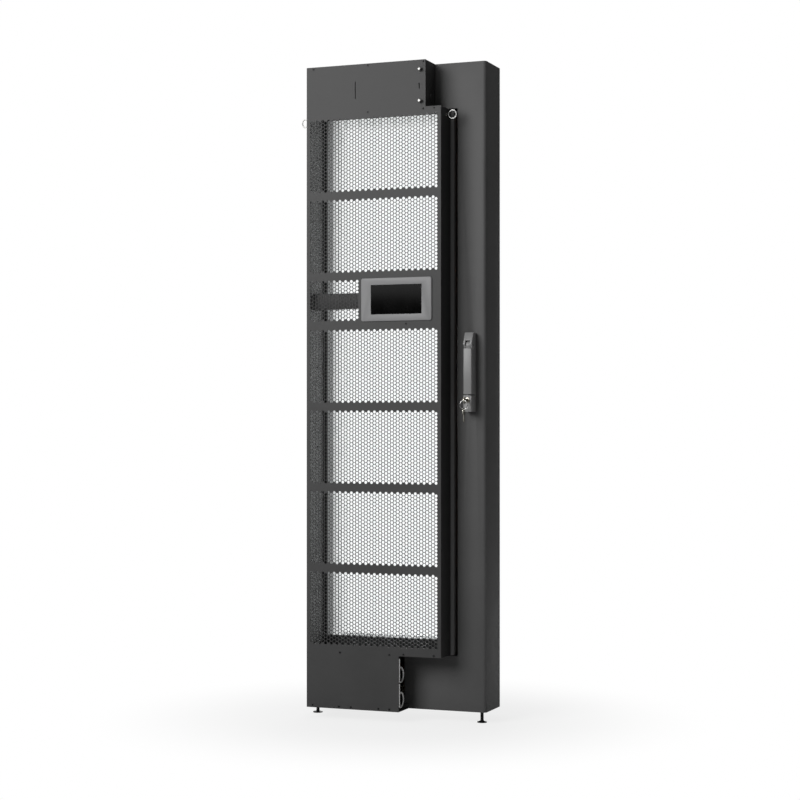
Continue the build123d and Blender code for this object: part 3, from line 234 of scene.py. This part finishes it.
# Bright nickel plate on the key ring
bright_nickel = finish_surface("bright_nickel_plate", ("#D8D8D6", "#E6E6E4"), 0.16, 1.0, 0.005, 1.0, patch_mm=20.0)
black_oxide = finish_surface("black_oxide_steel", ("#1E1E1F", "#2B2B2C"), 0.4, 0.8, 0.01, 0.6, patch_mm=8.0)
# Zinc plated steel, faintly streaked along its length
zinc_plate = finish_surface("zinc_plated_steel", ("#A9ADB0", "#BFC3C6"), 0.34, 1.2, 0.01, 1.0, (1, 1, 0.2), 25.0)
ground_steel = finish_surface("ground_steel", ("#B5B7B9", "#C6C8CA"), 0.22, 0.6, 0.005, 1.0, (1, 1, 0.1), 15.0)
# Cast zinc handle with a satin grey coat
handle_coat = finish_surface("satin_grey_coat", ("#8A8A8A", "#909090"), 0.38, 0.9, 0.02, patch_mm=50.0)
nickel_silver = finish_surface("nickel_silver", ("#BDB9AE", "#CFCCC3"), 0.24, 0.8, 0.01, 1.0, patch_mm=12.0)
foam = finish_surface("closed_cell_foam", ("#202020", "#2A2A2A"), 0.9, 0.7, 0.15, patch_mm=30.0)
rubber = finish_surface("moulded_black_rubber", ("#1B1B1B", "#222222"), 0.7, 0.9, 0.02, patch_mm=20.0)
bezel_plastic = finish_surface("moulded_grey_bezel", ("#848485", "#888889"), 0.45, 0.8, 0.02, patch_mm=60.0)
black_plastic = finish_surface("moulded_black_plastic", ("#1F1F20", "#262627"), 0.5, 0.8, 0.02, patch_mm=50.0)
pale_plastic = finish_surface("moulded_pale_grey_plastic", ("#8B8C8E", "#949597"), 0.45, 0.8, 0.02, patch_mm=50.0)
# Cover glass over a display that is off: black and smooth, with faint smears
screen_glass = finish_surface("black_cover_glass", ("#020202", "#040404"), 0.08, 40.0, 0.002, patch_mm=45.0,
                              specular=0.04, rough_spread=0.03)
# The hose wires are nearly white in the photograph: pale zinc, made matt and near white as a painted sheen for their
# bright reflections
zinc_wire_painted_sheen = finish_surface("pale_zinc_wire_painted_sheen", ("#F2F2F0", "#FBFBFA"), 0.35, 1.0, 0.005, patch_mm=20.0)
# Turned nickel, duller than the wire
eye_nickel = finish_surface("bright_nickel_rod", ("#A2A2A0", "#B2B2B0"), 0.2, 1.0, 0.005, 0.9, patch_mm=20.0)
thumb_nickel = finish_surface("brushed_nickel_plate", ("#8F8F8D", "#A3A3A1"), 0.3, 0.6, 0.01, 1.0, patch_mm=6.0)


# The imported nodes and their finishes

FINISHES = {
    leaf_coat_painted_lighter: ["leaf_shell", "rear_cover"],
    housing_coat_painted_darker: ["front_panel", "lower_box"],
    wall_coat_and_painted_shade: ["header_box"],
    duct_painted_light_and_shade: ["duct_walls", "display_tray"],
    frame_coat: ["frame_post_left", "frame_post_right", "frame_rail_top", "frame_rail_bottom"],
    fins: ["coil_fins"],
    galvanised: ["drip_tray"],
    casing_coat_painted_shade: ["coil_casing"],
    copper: ["coil_bends", "supply_manifold", "return_manifold", "supply_pipe", "return_pipe"],
    nickel_brass: ["ball_valves", "control_valve", "hose_nipples", "air_vents"],
    dipped_plastic: ["supply_valve_lever", "return_valve_lever"],
    bright_nickel: ["thumb_screws", "key_ring"],
    zinc_wire_painted_sheen: ["hose_rings"],
    eye_nickel: ["eye_screws"],
    black_oxide: ["panel_screws", "left_foot", "right_foot"],
    zinc_plate: ["hinge_door_halves", "hinge_frame_halves", "gearbox_housing", "rod_guides", "upper_keeper",
                 "lower_keeper", "upper_rod", "lower_rod", "rod_pinion", "spindle", "foot_bushes",
                 "temperature_probes"],
    ground_steel: ["hinge_pins", "lever_pin"],
    handle_coat: ["handle_base", "handle_hub", "handle_lever"],
    nickel_silver: ["lock_cylinder", "key", "spare_key"],
    foam: ["door_seal"],
    rubber: ["cable_grommet"],
    bezel_plastic: ["display_bezel"],
    screen_glass: ["display_glass"],
    black_plastic: ["display_module", "controller", "power_supply"],
    pale_plastic: ["valve_actuator"],
}
for material, names in FINISHES.items():
    for name in names:
        NODES[name].data.materials.clear()
        NODES[name].data.materials.append(material)


# Perforated front sheet

def sheet_tree():
    """A flat sheet from its outline, with close packed hexagonal holes in a rectangular zone."""
    tree = bpy.data.node_groups.new("perforated_sheet", "GeometryNodeTree")
    face = tree.interface
    face.new_socket("Outline", in_out="INPUT", socket_type="NodeSocketGeometry")
    for label, kind in (("Columns", "NodeSocketInt"), ("Rows", "NodeSocketInt"),
                        ("Column pitch", "NodeSocketFloat"), ("Row pitch", "NodeSocketFloat"),
                        ("Hole across flats", "NodeSocketFloat"), ("Thickness", "NodeSocketFloat"),
                        ("Zone centre", "NodeSocketVector"), ("Finish", "NodeSocketMaterial")):
        face.new_socket(label, in_out="INPUT", socket_type=kind)
    face.new_socket("Sheet", in_out="OUTPUT", socket_type="NodeSocketGeometry")
    given = add(tree, "NodeGroupInput").outputs
    # A grid of points, drawn flat in X and Y, with every second column half a pitch lower
    width = calc(tree, "MULTIPLY", calc(tree, "SUBTRACT", given["Columns"], 1.0), given["Column pitch"])
    height = calc(tree, "MULTIPLY", calc(tree, "SUBTRACT", given["Rows"], 1.0), given["Row pitch"])
    grid = add(tree, "GeometryNodeMeshGrid", links={"Size X": width, "Size Y": height,
                                                   "Vertices X": given["Columns"], "Vertices Y": given["Rows"]})
    index = add(tree, "GeometryNodeInputIndex").outputs[0]
    column = calc(tree, "FLOOR", calc(tree, "DIVIDE", index, given["Rows"]))
    odd = calc(tree, "SUBTRACT", calc(tree, "MODULO", column, 2.0), 0.5)
    drop = calc(tree, "MULTIPLY", calc(tree, "MULTIPLY", odd, given["Row pitch"]), -0.5)
    offset = add(tree, "ShaderNodeCombineXYZ", links={"Y": drop}).outputs[0]
    offset = add(tree, "ShaderNodeVectorMath", links={0: offset, 1: given["Zone centre"]}, operation="ADD").outputs[0]
    points = add(tree, "GeometryNodeSetPosition", links={"Geometry": grid.outputs["Mesh"], "Offset": offset})
    # A hexagon with flats at its top and bottom
    radius = calc(tree, "MULTIPLY", given["Hole across flats"], 0.5 / math.cos(math.pi / 6))
    hexagon = add(tree, "GeometryNodeCurvePrimitiveCircle", {"Resolution": 6}, {"Radius": radius})
    holes = add(tree, "GeometryNodeInstanceOnPoints", links={"Points": points.outputs[0],
                                                            "Instance": hexagon.outputs["Curve"]})
    holes = add(tree, "GeometryNodeRealizeInstances", links={0: holes.outputs[0]})
    edge = add(tree, "GeometryNodeMeshToCurve", links={"Mesh": given["Outline"]})
    loops = add(tree, "GeometryNodeJoinGeometry")
    tree.links.new(holes.outputs[0], loops.inputs[0])
    tree.links.new(edge.outputs[0], loops.inputs[0])
    flat = add(tree, "GeometryNodeFillCurve", links={0: loops.outputs[0]})
    # The face is lifted by the thickness, its sides follow, and a turned copy closes the back
    up = add(tree, "ShaderNodeCombineXYZ", links={"Z": given["Thickness"]}).outputs[0]
    raised = add(tree, "GeometryNodeExtrudeMesh", {"Individual": False}, {"Mesh": flat.outputs[0], "Offset": up})
    turned = add(tree, "GeometryNodeFlipFaces", links={0: flat.outputs[0]})
    closed = add(tree, "GeometryNodeJoinGeometry")
    tree.links.new(raised.outputs["Mesh"], closed.inputs[0])
    tree.links.new(turned.outputs[0], closed.inputs[0])
    welded = add(tree, "GeometryNodeMergeByDistance", {"Distance": 1e-6}, {"Geometry": closed.outputs[0]})
    plain = add(tree, "GeometryNodeRealizeInstances", links={0: welded.outputs[0]})
    painted = add(tree, "GeometryNodeSetMaterial", links={"Geometry": plain.outputs[0], "Material": given["Finish"]})
    add(tree, "NodeGroupOutput", links={0: painted.outputs[0]})
    return tree


def set_inputs(modifier, values):
    """Gives a tree's named inputs their values, each by its own identifier."""
    for item in modifier.node_group.interface.items_tree:
        if item.in_out == "INPUT" and item.name in values:
            modifier[item.identifier] = values[item.name]


def baked(source, name):
    """A plain mesh piece of what an object shows, without its modifiers."""
    bpy.context.view_layer.update()
    shown = source.evaluated_get(bpy.context.evaluated_depsgraph_get())
    mesh = bpy.data.meshes.new_from_object(shown)
    mesh.name = name
    bpy.data.objects.remove(source)
    made = bpy.data.objects.new(name, mesh)
    SCENE.collection.objects.link(made)
    return made


def loop_mesh(name, loops):
    """Closed loops of edges, drawn in X and Y."""
    mesh = bpy.data.meshes.new(name)
    corners, edges = [], []
    for loop in loops:
        first = len(corners)
        corners += [(x, y, 0) for x, y in loop]
        edges += [(first + i, first + (i + 1) % len(loop)) for i in range(len(loop))]
    mesh.from_pydata(corners, edges, [])
    made = bpy.data.objects.new(name, mesh)
    SCENE.collection.objects.link(made)
    return made


def rectangle(x0, x1, y0, y1):
    """The corners of an upright rectangle, in turn."""
    return [(x0, y0), (x1, y0), (x1, y1), (x0, y1)]


def ring(x, y, r, count=24):
    """Points round a circle, in turn."""
    return [(x + r * math.cos(2 * math.pi * i / count), y + r * math.sin(2 * math.pi * i / count))
            for i in range(count)]


def soften_edges(piece, angle=30.0):
    """Smooth shading across round faces, with sharp edges kept."""
    for polygon in piece.data.polygons:
        polygon.use_smooth = True
    piece.data.set_sharp_from_angle(angle=math.radians(angle))


def front_sheet(tree, name, loops, columns=0, rows=0, centre=(0, 0)):
    """One band of the front sheet. It is drawn flat and then stood up with its face to the front."""
    source = loop_mesh(name + "_outline", loops)
    modifier = source.modifiers.new("sheet", "NODES")
    modifier.node_group = tree
    set_inputs(modifier, {"Columns": columns, "Rows": rows, "Column pitch": COLUMN_PITCH,
                          "Row pitch": ROW_PITCH, "Hole across flats": HOLE_ACROSS, "Thickness": SHEET,
                          "Zone centre": Vector((*centre, 0)), "Finish": housing_coat_painted_darker})
    piece = baked(source, name)
    piece.data.transform(Matrix.Translation((0, panel_high.y, 0)) @ Matrix.Rotation(math.pi / 2, 4, "X"))
    return piece


duct_low, duct_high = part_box("duct_walls")
module_low, module_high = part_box("display_module")
header_right, foot_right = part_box("header_box")[1].x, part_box("lower_box")[1].x
PANEL_LEFT, PANEL_RIGHT = panel_low.x, panel_high.x
DUCT_TOP, DUCT_FOOT = duct_high.z, duct_low.z

# The round hole near the upper right corner: how far in, how far down, and its radius
CORNER_HOLE = (16.6 * MM, 23.2 * MM, 4.0 * MM)
# The long slit and the short slot in the head: how far in from the left or the right, and half their width and height
SLIT_IN, SLIT_HALF = 164.7 * MM, (1.2 * MM, 27.0 * MM)
SLOT_IN, SLOT_HALF = 20.6 * MM, (1.6 * MM, 9.0 * MM)
# Both stand this far below the middle of the head
SLOTS_DOWN = 8.0 * MM

# Zones of holes from the top, in the leaf's millimetres: the height of the middle, the rows and the columns
ZONES = [(1720.5, 20, 44), (1469.5, 20, 44), (1269.0, 11, 17), (1065.0, 20, 44), (814.0, 20, 44), (563.0, 20, 44),
         (312.0, 20, 44)]
DISPLAY_ZONE = 2
# Heights of the six seams between the bands, halfway between two zones
SEAMS = [1595.0, 1344.0, 1192.25, 939.5, 688.5, 437.5]


def perforated_bands(tree):
    """The seven bands of the front sheet, each with its zone of holes."""
    levels = [DUCT_TOP, *(DOOR_Z + z * MM for z in SEAMS), DUCT_FOOT]
    bands = []
    for number, (middle, rows, columns) in enumerate(ZONES):
        loops = [rectangle(PANEL_LEFT, PANEL_RIGHT, levels[number + 1], levels[number])]
        centre_x = (PANEL_LEFT + PANEL_RIGHT) / 2
        if number == DISPLAY_ZONE:
            # The holes end where the display begins, and the display's module passes through the sheet
            loops.append(rectangle(module_low.x, module_high.x, module_low.z, module_high.z))
            centre_x -= (ZONES[0][2] - columns) / 2 * COLUMN_PITCH
        if number == 0:
            inward, down, radius = CORNER_HOLE
            loops.append(ring(PANEL_RIGHT - inward, DUCT_TOP - down, radius))
        bands.append(front_sheet(tree, f"perforated_band_{number + 1}", loops, columns, rows,
                                 (centre_x, DOOR_Z + middle * MM)))
    return bands


def slot_outline(x, z, half):
    """A slot's corners from its middle and half its width and height."""
    return rectangle(x - half[0], x + half[0], z - half[1], z + half[1])


sheet = sheet_tree()
panel_pieces = perforated_bands(sheet)
slots_z = (DUCT_TOP + panel_high.z) / 2 - SLOTS_DOWN
panel_pieces.append(front_sheet(sheet, "header_front", [
    rectangle(PANEL_LEFT, header_right, DUCT_TOP, panel_high.z),
    slot_outline(PANEL_LEFT + SLIT_IN, slots_z, SLIT_HALF),
    slot_outline(header_right - SLOT_IN, slots_z, SLOT_HALF)]))
panel_pieces.append(front_sheet(sheet, "lower_front", [rectangle(PANEL_LEFT, foot_right, panel_low.z, DUCT_FOOT)]))
for piece in panel_pieces:
    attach(piece, "door")
    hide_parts("front_panel")


# Folded and cast pieces get the small rounded edges of the real ones

def rounded_copy(name, node, width_mm):
    """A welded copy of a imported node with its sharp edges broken."""
    source = NODES[node]
    shape = bmesh.new()
    shape.from_mesh(source.data)
    bmesh.ops.remove_doubles(shape, verts=shape.verts, dist=1e-6)
    bmesh.ops.dissolve_limit(shape, angle_limit=math.radians(1.0), verts=shape.verts, edges=shape.edges)
    mesh = bpy.data.meshes.new(name)
    shape.to_mesh(mesh)
    shape.free()
    piece = bpy.data.objects.new(name, mesh)
    SCENE.collection.objects.link(piece)
    edge = piece.modifiers.new("broken_edges", "BEVEL")
    edge.width = width_mm * MM
    edge.segments = 2
    edge.limit_method = "ANGLE"
    edge.angle_limit = math.radians(28.0)
    piece = baked(piece, name)
    piece.data.materials.clear()
    piece.data.materials.append(source.data.materials[0])
    soften_edges(piece)
    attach(piece, source["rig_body"])
    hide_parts(node)
    return piece


for node, width in (("handle_base", 0.8), ("handle_hub", 1.2), ("handle_lever", 1.2), ("display_bezel", 0.6),
                    ("leaf_shell", 0.7), ("header_box", 0.7), ("duct_walls", 0.7), ("lower_box", 0.7),
                    ("display_module", 1.0), ("controller", 1.5), ("power_supply", 1.0), ("valve_actuator", 2.0),
                    ("frame_post_left", 0.8), ("frame_post_right", 0.8), ("frame_rail_top", 0.8),
                    ("frame_rail_bottom", 0.8), ("rear_cover", 0.5), ("upper_keeper", 0.5), ("lower_keeper", 0.5),
                    ("gearbox_housing", 0.8), ("hinge_door_halves", 0.4), ("hinge_frame_halves", 0.4),
                    ("lock_cylinder", 0.3), ("key", 0.3), ("spare_key", 0.3), ("display_tray", 0.4)):
    rounded_copy(node + "_rounded", node, width)


# Small turned and stamped pieces

def islands(node):
    """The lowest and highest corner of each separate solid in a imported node."""
    shape = bmesh.new()
    shape.from_mesh(NODES[node].data)
    bmesh.ops.remove_doubles(shape, verts=shape.verts, dist=1e-6)
    left, boxes = set(shape.verts), []
    while left:
        group, edge = set(), [left.pop()]
        while edge:
            corner = edge.pop()
            group.add(corner)
            for link in corner.link_edges:
                other = link.other_vert(corner)
                if other in left:
                    left.discard(other)
                    edge.append(other)
        axes = list(zip(*(v.co for v in group)))
        boxes.append((Vector(min(a) for a in axes), Vector(max(a) for a in axes)))
    shape.free()
    return sorted(boxes, key=lambda box: tuple(round(c, 6) for c in box[0]))


def lathe(name, outline, count, grip_depth=0.0):
    """A turned form about Z from (radius, height) points. Every second step of its widest rings may be cut in."""
    rings, faces, corners = [], [], []
    widest = max(radius for radius, height in outline)
    for radius, height in outline:
        if radius < 1e-7:
            rings.append([len(corners)])
            corners.append((0, 0, height))
            continue
        rings.append(list(range(len(corners), len(corners) + count)))
        fluted = grip_depth and radius >= widest - 1e-7
        for step in range(count):
            turn = 2 * math.pi * step / count
            r = radius - (grip_depth if fluted and step % 2 else 0.0)
            corners.append((r * math.cos(turn), r * math.sin(turn), height))
    for low_ring, high_ring in zip(rings, rings[1:]):
        for step in range(count):
            after = (step + 1) % count
            if len(low_ring) == 1:
                faces.append((low_ring[0], high_ring[step], high_ring[after]))
            elif len(high_ring) == 1:
                faces.append((low_ring[step], low_ring[after], high_ring[0]))
            else:
                faces.append((low_ring[step], low_ring[after], high_ring[after], high_ring[step]))
    mesh = bpy.data.meshes.new(name)
    mesh.from_pydata(corners, [], faces)
    shape = bmesh.new()
    shape.from_mesh(mesh)
    bmesh.ops.recalc_face_normals(shape, faces=shape.faces)
    shape.to_mesh(mesh)
    shape.free()
    return mesh


def screw_head():
    """A low domed head of 5.6 mm with a shallow round recess, facing +Z."""
    head = lathe("socket_head", [(0, 0.0002), (0.0012, 0.0002), (0.00135, 0.0013), (0.0021, 0.0012),
                                 (0.00265, 0.0007), (0.0028, 0.0), (0.0028, -0.0003), (0, -0.0003)], count=24)
    made = bpy.data.objects.new("socket_head", head)
    SCENE.collection.objects.link(made)
    return made


def scatter_tree():
    """Puts one object on every point of a mesh, turned to the point's own direction."""
    tree = bpy.data.node_groups.new("heads_on_points", "GeometryNodeTree")
    face = tree.interface
    face.new_socket("Points", in_out="INPUT", socket_type="NodeSocketGeometry")
    face.new_socket("Head", in_out="INPUT", socket_type="NodeSocketObject")
    face.new_socket("Finish", in_out="INPUT", socket_type="NodeSocketMaterial")
    face.new_socket("Heads", in_out="OUTPUT", socket_type="NodeSocketGeometry")
    given = add(tree, "NodeGroupInput").outputs
    head = add(tree, "GeometryNodeObjectInfo", links={"Object": given["Head"]})
    facing = add(tree, "GeometryNodeInputNamedAttribute", {"Name": "facing"}, data_type="FLOAT_VECTOR")
    turn = add(tree, "FunctionNodeAlignRotationToVector", links={"Vector": facing.outputs["Attribute"]}, axis="Z")
    set_out = add(tree, "GeometryNodeInstanceOnPoints", links={"Points": given["Points"],
                                                              "Instance": head.outputs["Geometry"],
                                                              "Rotation": turn.outputs[0]})
    real = add(tree, "GeometryNodeRealizeInstances", links={0: set_out.outputs[0]})
    done = add(tree, "GeometryNodeSetMaterial", links={"Geometry": real.outputs[0], "Material": given["Finish"]})
    add(tree, "NodeGroupOutput", links={0: done.outputs[0]})
    return tree


def panel_screws():
    """A socket head over each small screw. The short side of a screw's box is the way that it faces."""
    places, ways = [], []
    middle = (panel_low + panel_high) / 2
    for low_corner, high_corner in islands("panel_screws"):
        sizes, centre = list(high_corner - low_corner), (low_corner + high_corner) / 2
        odd = max(range(3), key=lambda k: abs(sizes[k] - sorted(sizes)[1]))
        way = Vector((0, 0, 0))
        if odd == 1:
            way.y = -1
            centre.y = low_corner.y
        else:
            way[odd] = 1 if centre[odd] < middle[odd] else -1
            centre[odd] = high_corner[odd] if way[odd] > 0 else low_corner[odd]
        places.append(centre + way * 0.0001)
        ways.append(way)
    mesh = bpy.data.meshes.new("screw_points")
    mesh.from_pydata([tuple(p) for p in places], [], [])
    facing = mesh.attributes.new("facing", "FLOAT_VECTOR", "POINT")
    for slot, way in zip(facing.data, ways):
        slot.vector = way
    source = bpy.data.objects.new("screw_points", mesh)
    SCENE.collection.objects.link(source)
    head = screw_head()
    modifier = source.modifiers.new("heads", "NODES")
    modifier.node_group = scatter_tree()
    set_inputs(modifier, {"Head": head, "Finish": black_oxide})
    piece = baked(source, "panel_screw_heads")
    bpy.data.objects.remove(head)
    soften_edges(piece, 25.0)
    return piece


def joined(name, meshes, material):
    """One piece from several placed meshes."""
    shape = bmesh.new()
    for mesh in meshes:
        shape.from_mesh(mesh)
    mesh = bpy.data.meshes.new(name)
    shape.to_mesh(mesh)
    shape.free()
    mesh.materials.append(material)
    piece = bpy.data.objects.new(name, mesh)
    SCENE.collection.objects.link(piece)
    soften_edges(piece, 25.0)
    return piece


# The thumb screw's outline from its seat to its face, as shares of its radius and its depth
THUMB_OUTLINE = ((0, 0), (0.55, 0), (0.6, 0.3), (0.92, 0.36), (1, 0.45), (1, 0.8), (0.9, 0.92), (0.5, 0.99), (0, 1))


def thumb_screws():
    """Captive screws with a fluted rim and a domed face."""
    made = []
    for number, (low_corner, high_corner) in enumerate(islands("thumb_screws")):
        r, depth = (high_corner.x - low_corner.x) / 2, high_corner.y - low_corner.y
        form = lathe(f"thumb_screw_{number}", [(r * out, depth * up) for out, up in THUMB_OUTLINE], 48, r * 0.06)
        centre = (low_corner + high_corner) / 2
        form.transform(Matrix.Translation((centre.x, high_corner.y, centre.z)) @ Matrix.Rotation(math.pi / 2, 4, "X"))
        made.append(form)
    return joined("thumb_screws_fluted", made, thumb_nickel)


def hose_wires():
    """The two bent wires, moved out to stand flush with the edge of the open side as in the photograph."""
    wires = NODES["hose_rings"].data.copy()
    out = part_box("lower_box")[1].x - (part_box("hose_rings")[0].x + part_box("hose_rings")[1].x) / 2
    wires.transform(Matrix.Translation((out, 0, 0)))
    wires.materials.clear()
    return joined("hose_wires", [wires], zinc_wire_painted_sheen)


for piece, node in ((panel_screws(), "panel_screws"), (thumb_screws(), "thumb_screws"),
                    (hose_wires(), "hose_rings")):
    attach(piece, "door")
    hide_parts(node)


# Floor, background, lamps and camera

FLOOR_REACH = 14.0
# Each lamp's name, place, aim, width in metres and power in watts
LAMPS = (("key_upper_left", (-1.5, -3.4, 2.6), (-0.1, 0, 1.0), 2.2, 106.0),
         ("top", (-0.3, 0.2, 3.9), (0, 0, 1.0), 1.4, 40.0),
         ("rear_fill", (-0.75, 2.6, 1.2), (-0.05, 0, 1.05), 1.5, 78.0))
# The camera's place from the leaf's middle, the panel's face and the door's lower edge, and its turn about Z
CAMERA_AWAY, CAMERA_TURN = (2.1071, -5.2751, 0.8912), 21.315
# The picture's width in pixels, and how many of them the picture is shifted across and up
PICTURE, SHIFT_ACROSS, SHIFT_UP = 800, 0.8, 22.2


def studio():
    """A pale floor that keeps the shadow, and a surround that is white where the camera sees it."""
    made, tree, output, place = blank_material("pale_studio_floor")
    path = add(tree, "ShaderNodeLightPath")
    matt = add(tree, "ShaderNodeBsdfDiffuse", {"Color": linear("#C4C4C4"), "Roughness": 0.5})
    white = add(tree, "ShaderNodeEmission", {"Color": (1, 1, 1, 1), "Strength": 1.0})
    far = add(tree, "ShaderNodeVectorMath", links={0: place}, operation="LENGTH")
    fade = add(tree, "ShaderNodeMapRange", {"From Min": 0.3, "From Max": 1.0, "To Min": 0.8},
               {"Value": far.outputs["Value"]}, interpolation_type="SMOOTHSTEP")
    seen = calc(tree, "MULTIPLY", path.outputs["Is Camera Ray"], fade.outputs["Result"])
    mixed = add(tree, "ShaderNodeMixShader", links={0: seen, 1: matt.outputs[0], 2: white.outputs[0]})
    tree.links.new(mixed.outputs[0], output.inputs["Surface"])
    mesh = bpy.data.meshes.new("studio_floor")
    mesh.from_pydata([(x, y, 0) for x, y in rectangle(-FLOOR_REACH, FLOOR_REACH, -FLOOR_REACH, FLOOR_REACH)], [],
                     [(0, 1, 2, 3)])
    floor = bpy.data.objects.new("studio_floor", mesh)
    floor.data.materials.append(made)
    SCENE.collection.objects.link(floor)

    world = bpy.data.worlds.new("white_surround")
    SCENE.world = world
    world.use_nodes = True
    tree = world.node_tree
    tree.nodes.clear()
    path = add(tree, "ShaderNodeLightPath")
    seen = calc(tree, "MAXIMUM", path.outputs["Is Camera Ray"], path.outputs["Is Transmission Ray"])
    plain = add(tree, "ShaderNodeBackground", {"Color": (1, 1, 1, 1), "Strength": 0.12})
    white = add(tree, "ShaderNodeBackground", {"Color": (1, 1, 1, 1), "Strength": 1.0})
    mixed = add(tree, "ShaderNodeMixShader", links={0: seen, 1: plain.outputs[0], 2: white.outputs[0]})
    add(tree, "ShaderNodeOutputWorld", links={"Surface": mixed.outputs[0]})


def soft_lamp(name, place, aim, size, power):
    """A square soft box that looks at a point."""
    data = bpy.data.lights.new(name, "AREA")
    data.shape, data.size, data.energy = "SQUARE", size, power
    lamp = bpy.data.objects.new(name, data)
    lamp.location = place
    lamp.rotation_euler = (Vector(aim) - Vector(place)).to_track_quat("-Z", "Y").to_euler()
    SCENE.collection.objects.link(lamp)


studio()
for lamp_values in LAMPS:
    soft_lamp(*lamp_values)

SCENE.view_settings.view_transform = "Standard"

# The camera stands where the photograph's did: fitted to the corners of the panel, the leaf and the feet
camera_data = bpy.data.cameras.new("camera")
camera_data.sensor_width = 36.0
camera_data.lens = 82.99
camera_data.shift_x, camera_data.shift_y = SHIFT_ACROSS / PICTURE, SHIFT_UP / PICTURE
camera = bpy.data.objects.new("camera", camera_data)
camera.location = Vector((LEAF_X, PANEL_Y, DOOR_Z)) + Vector(CAMERA_AWAY)
camera.rotation_euler = (math.radians(90.0), 0.0, math.radians(CAMERA_TURN))
SCENE.collection.objects.link(camera)
SCENE.camera = camera
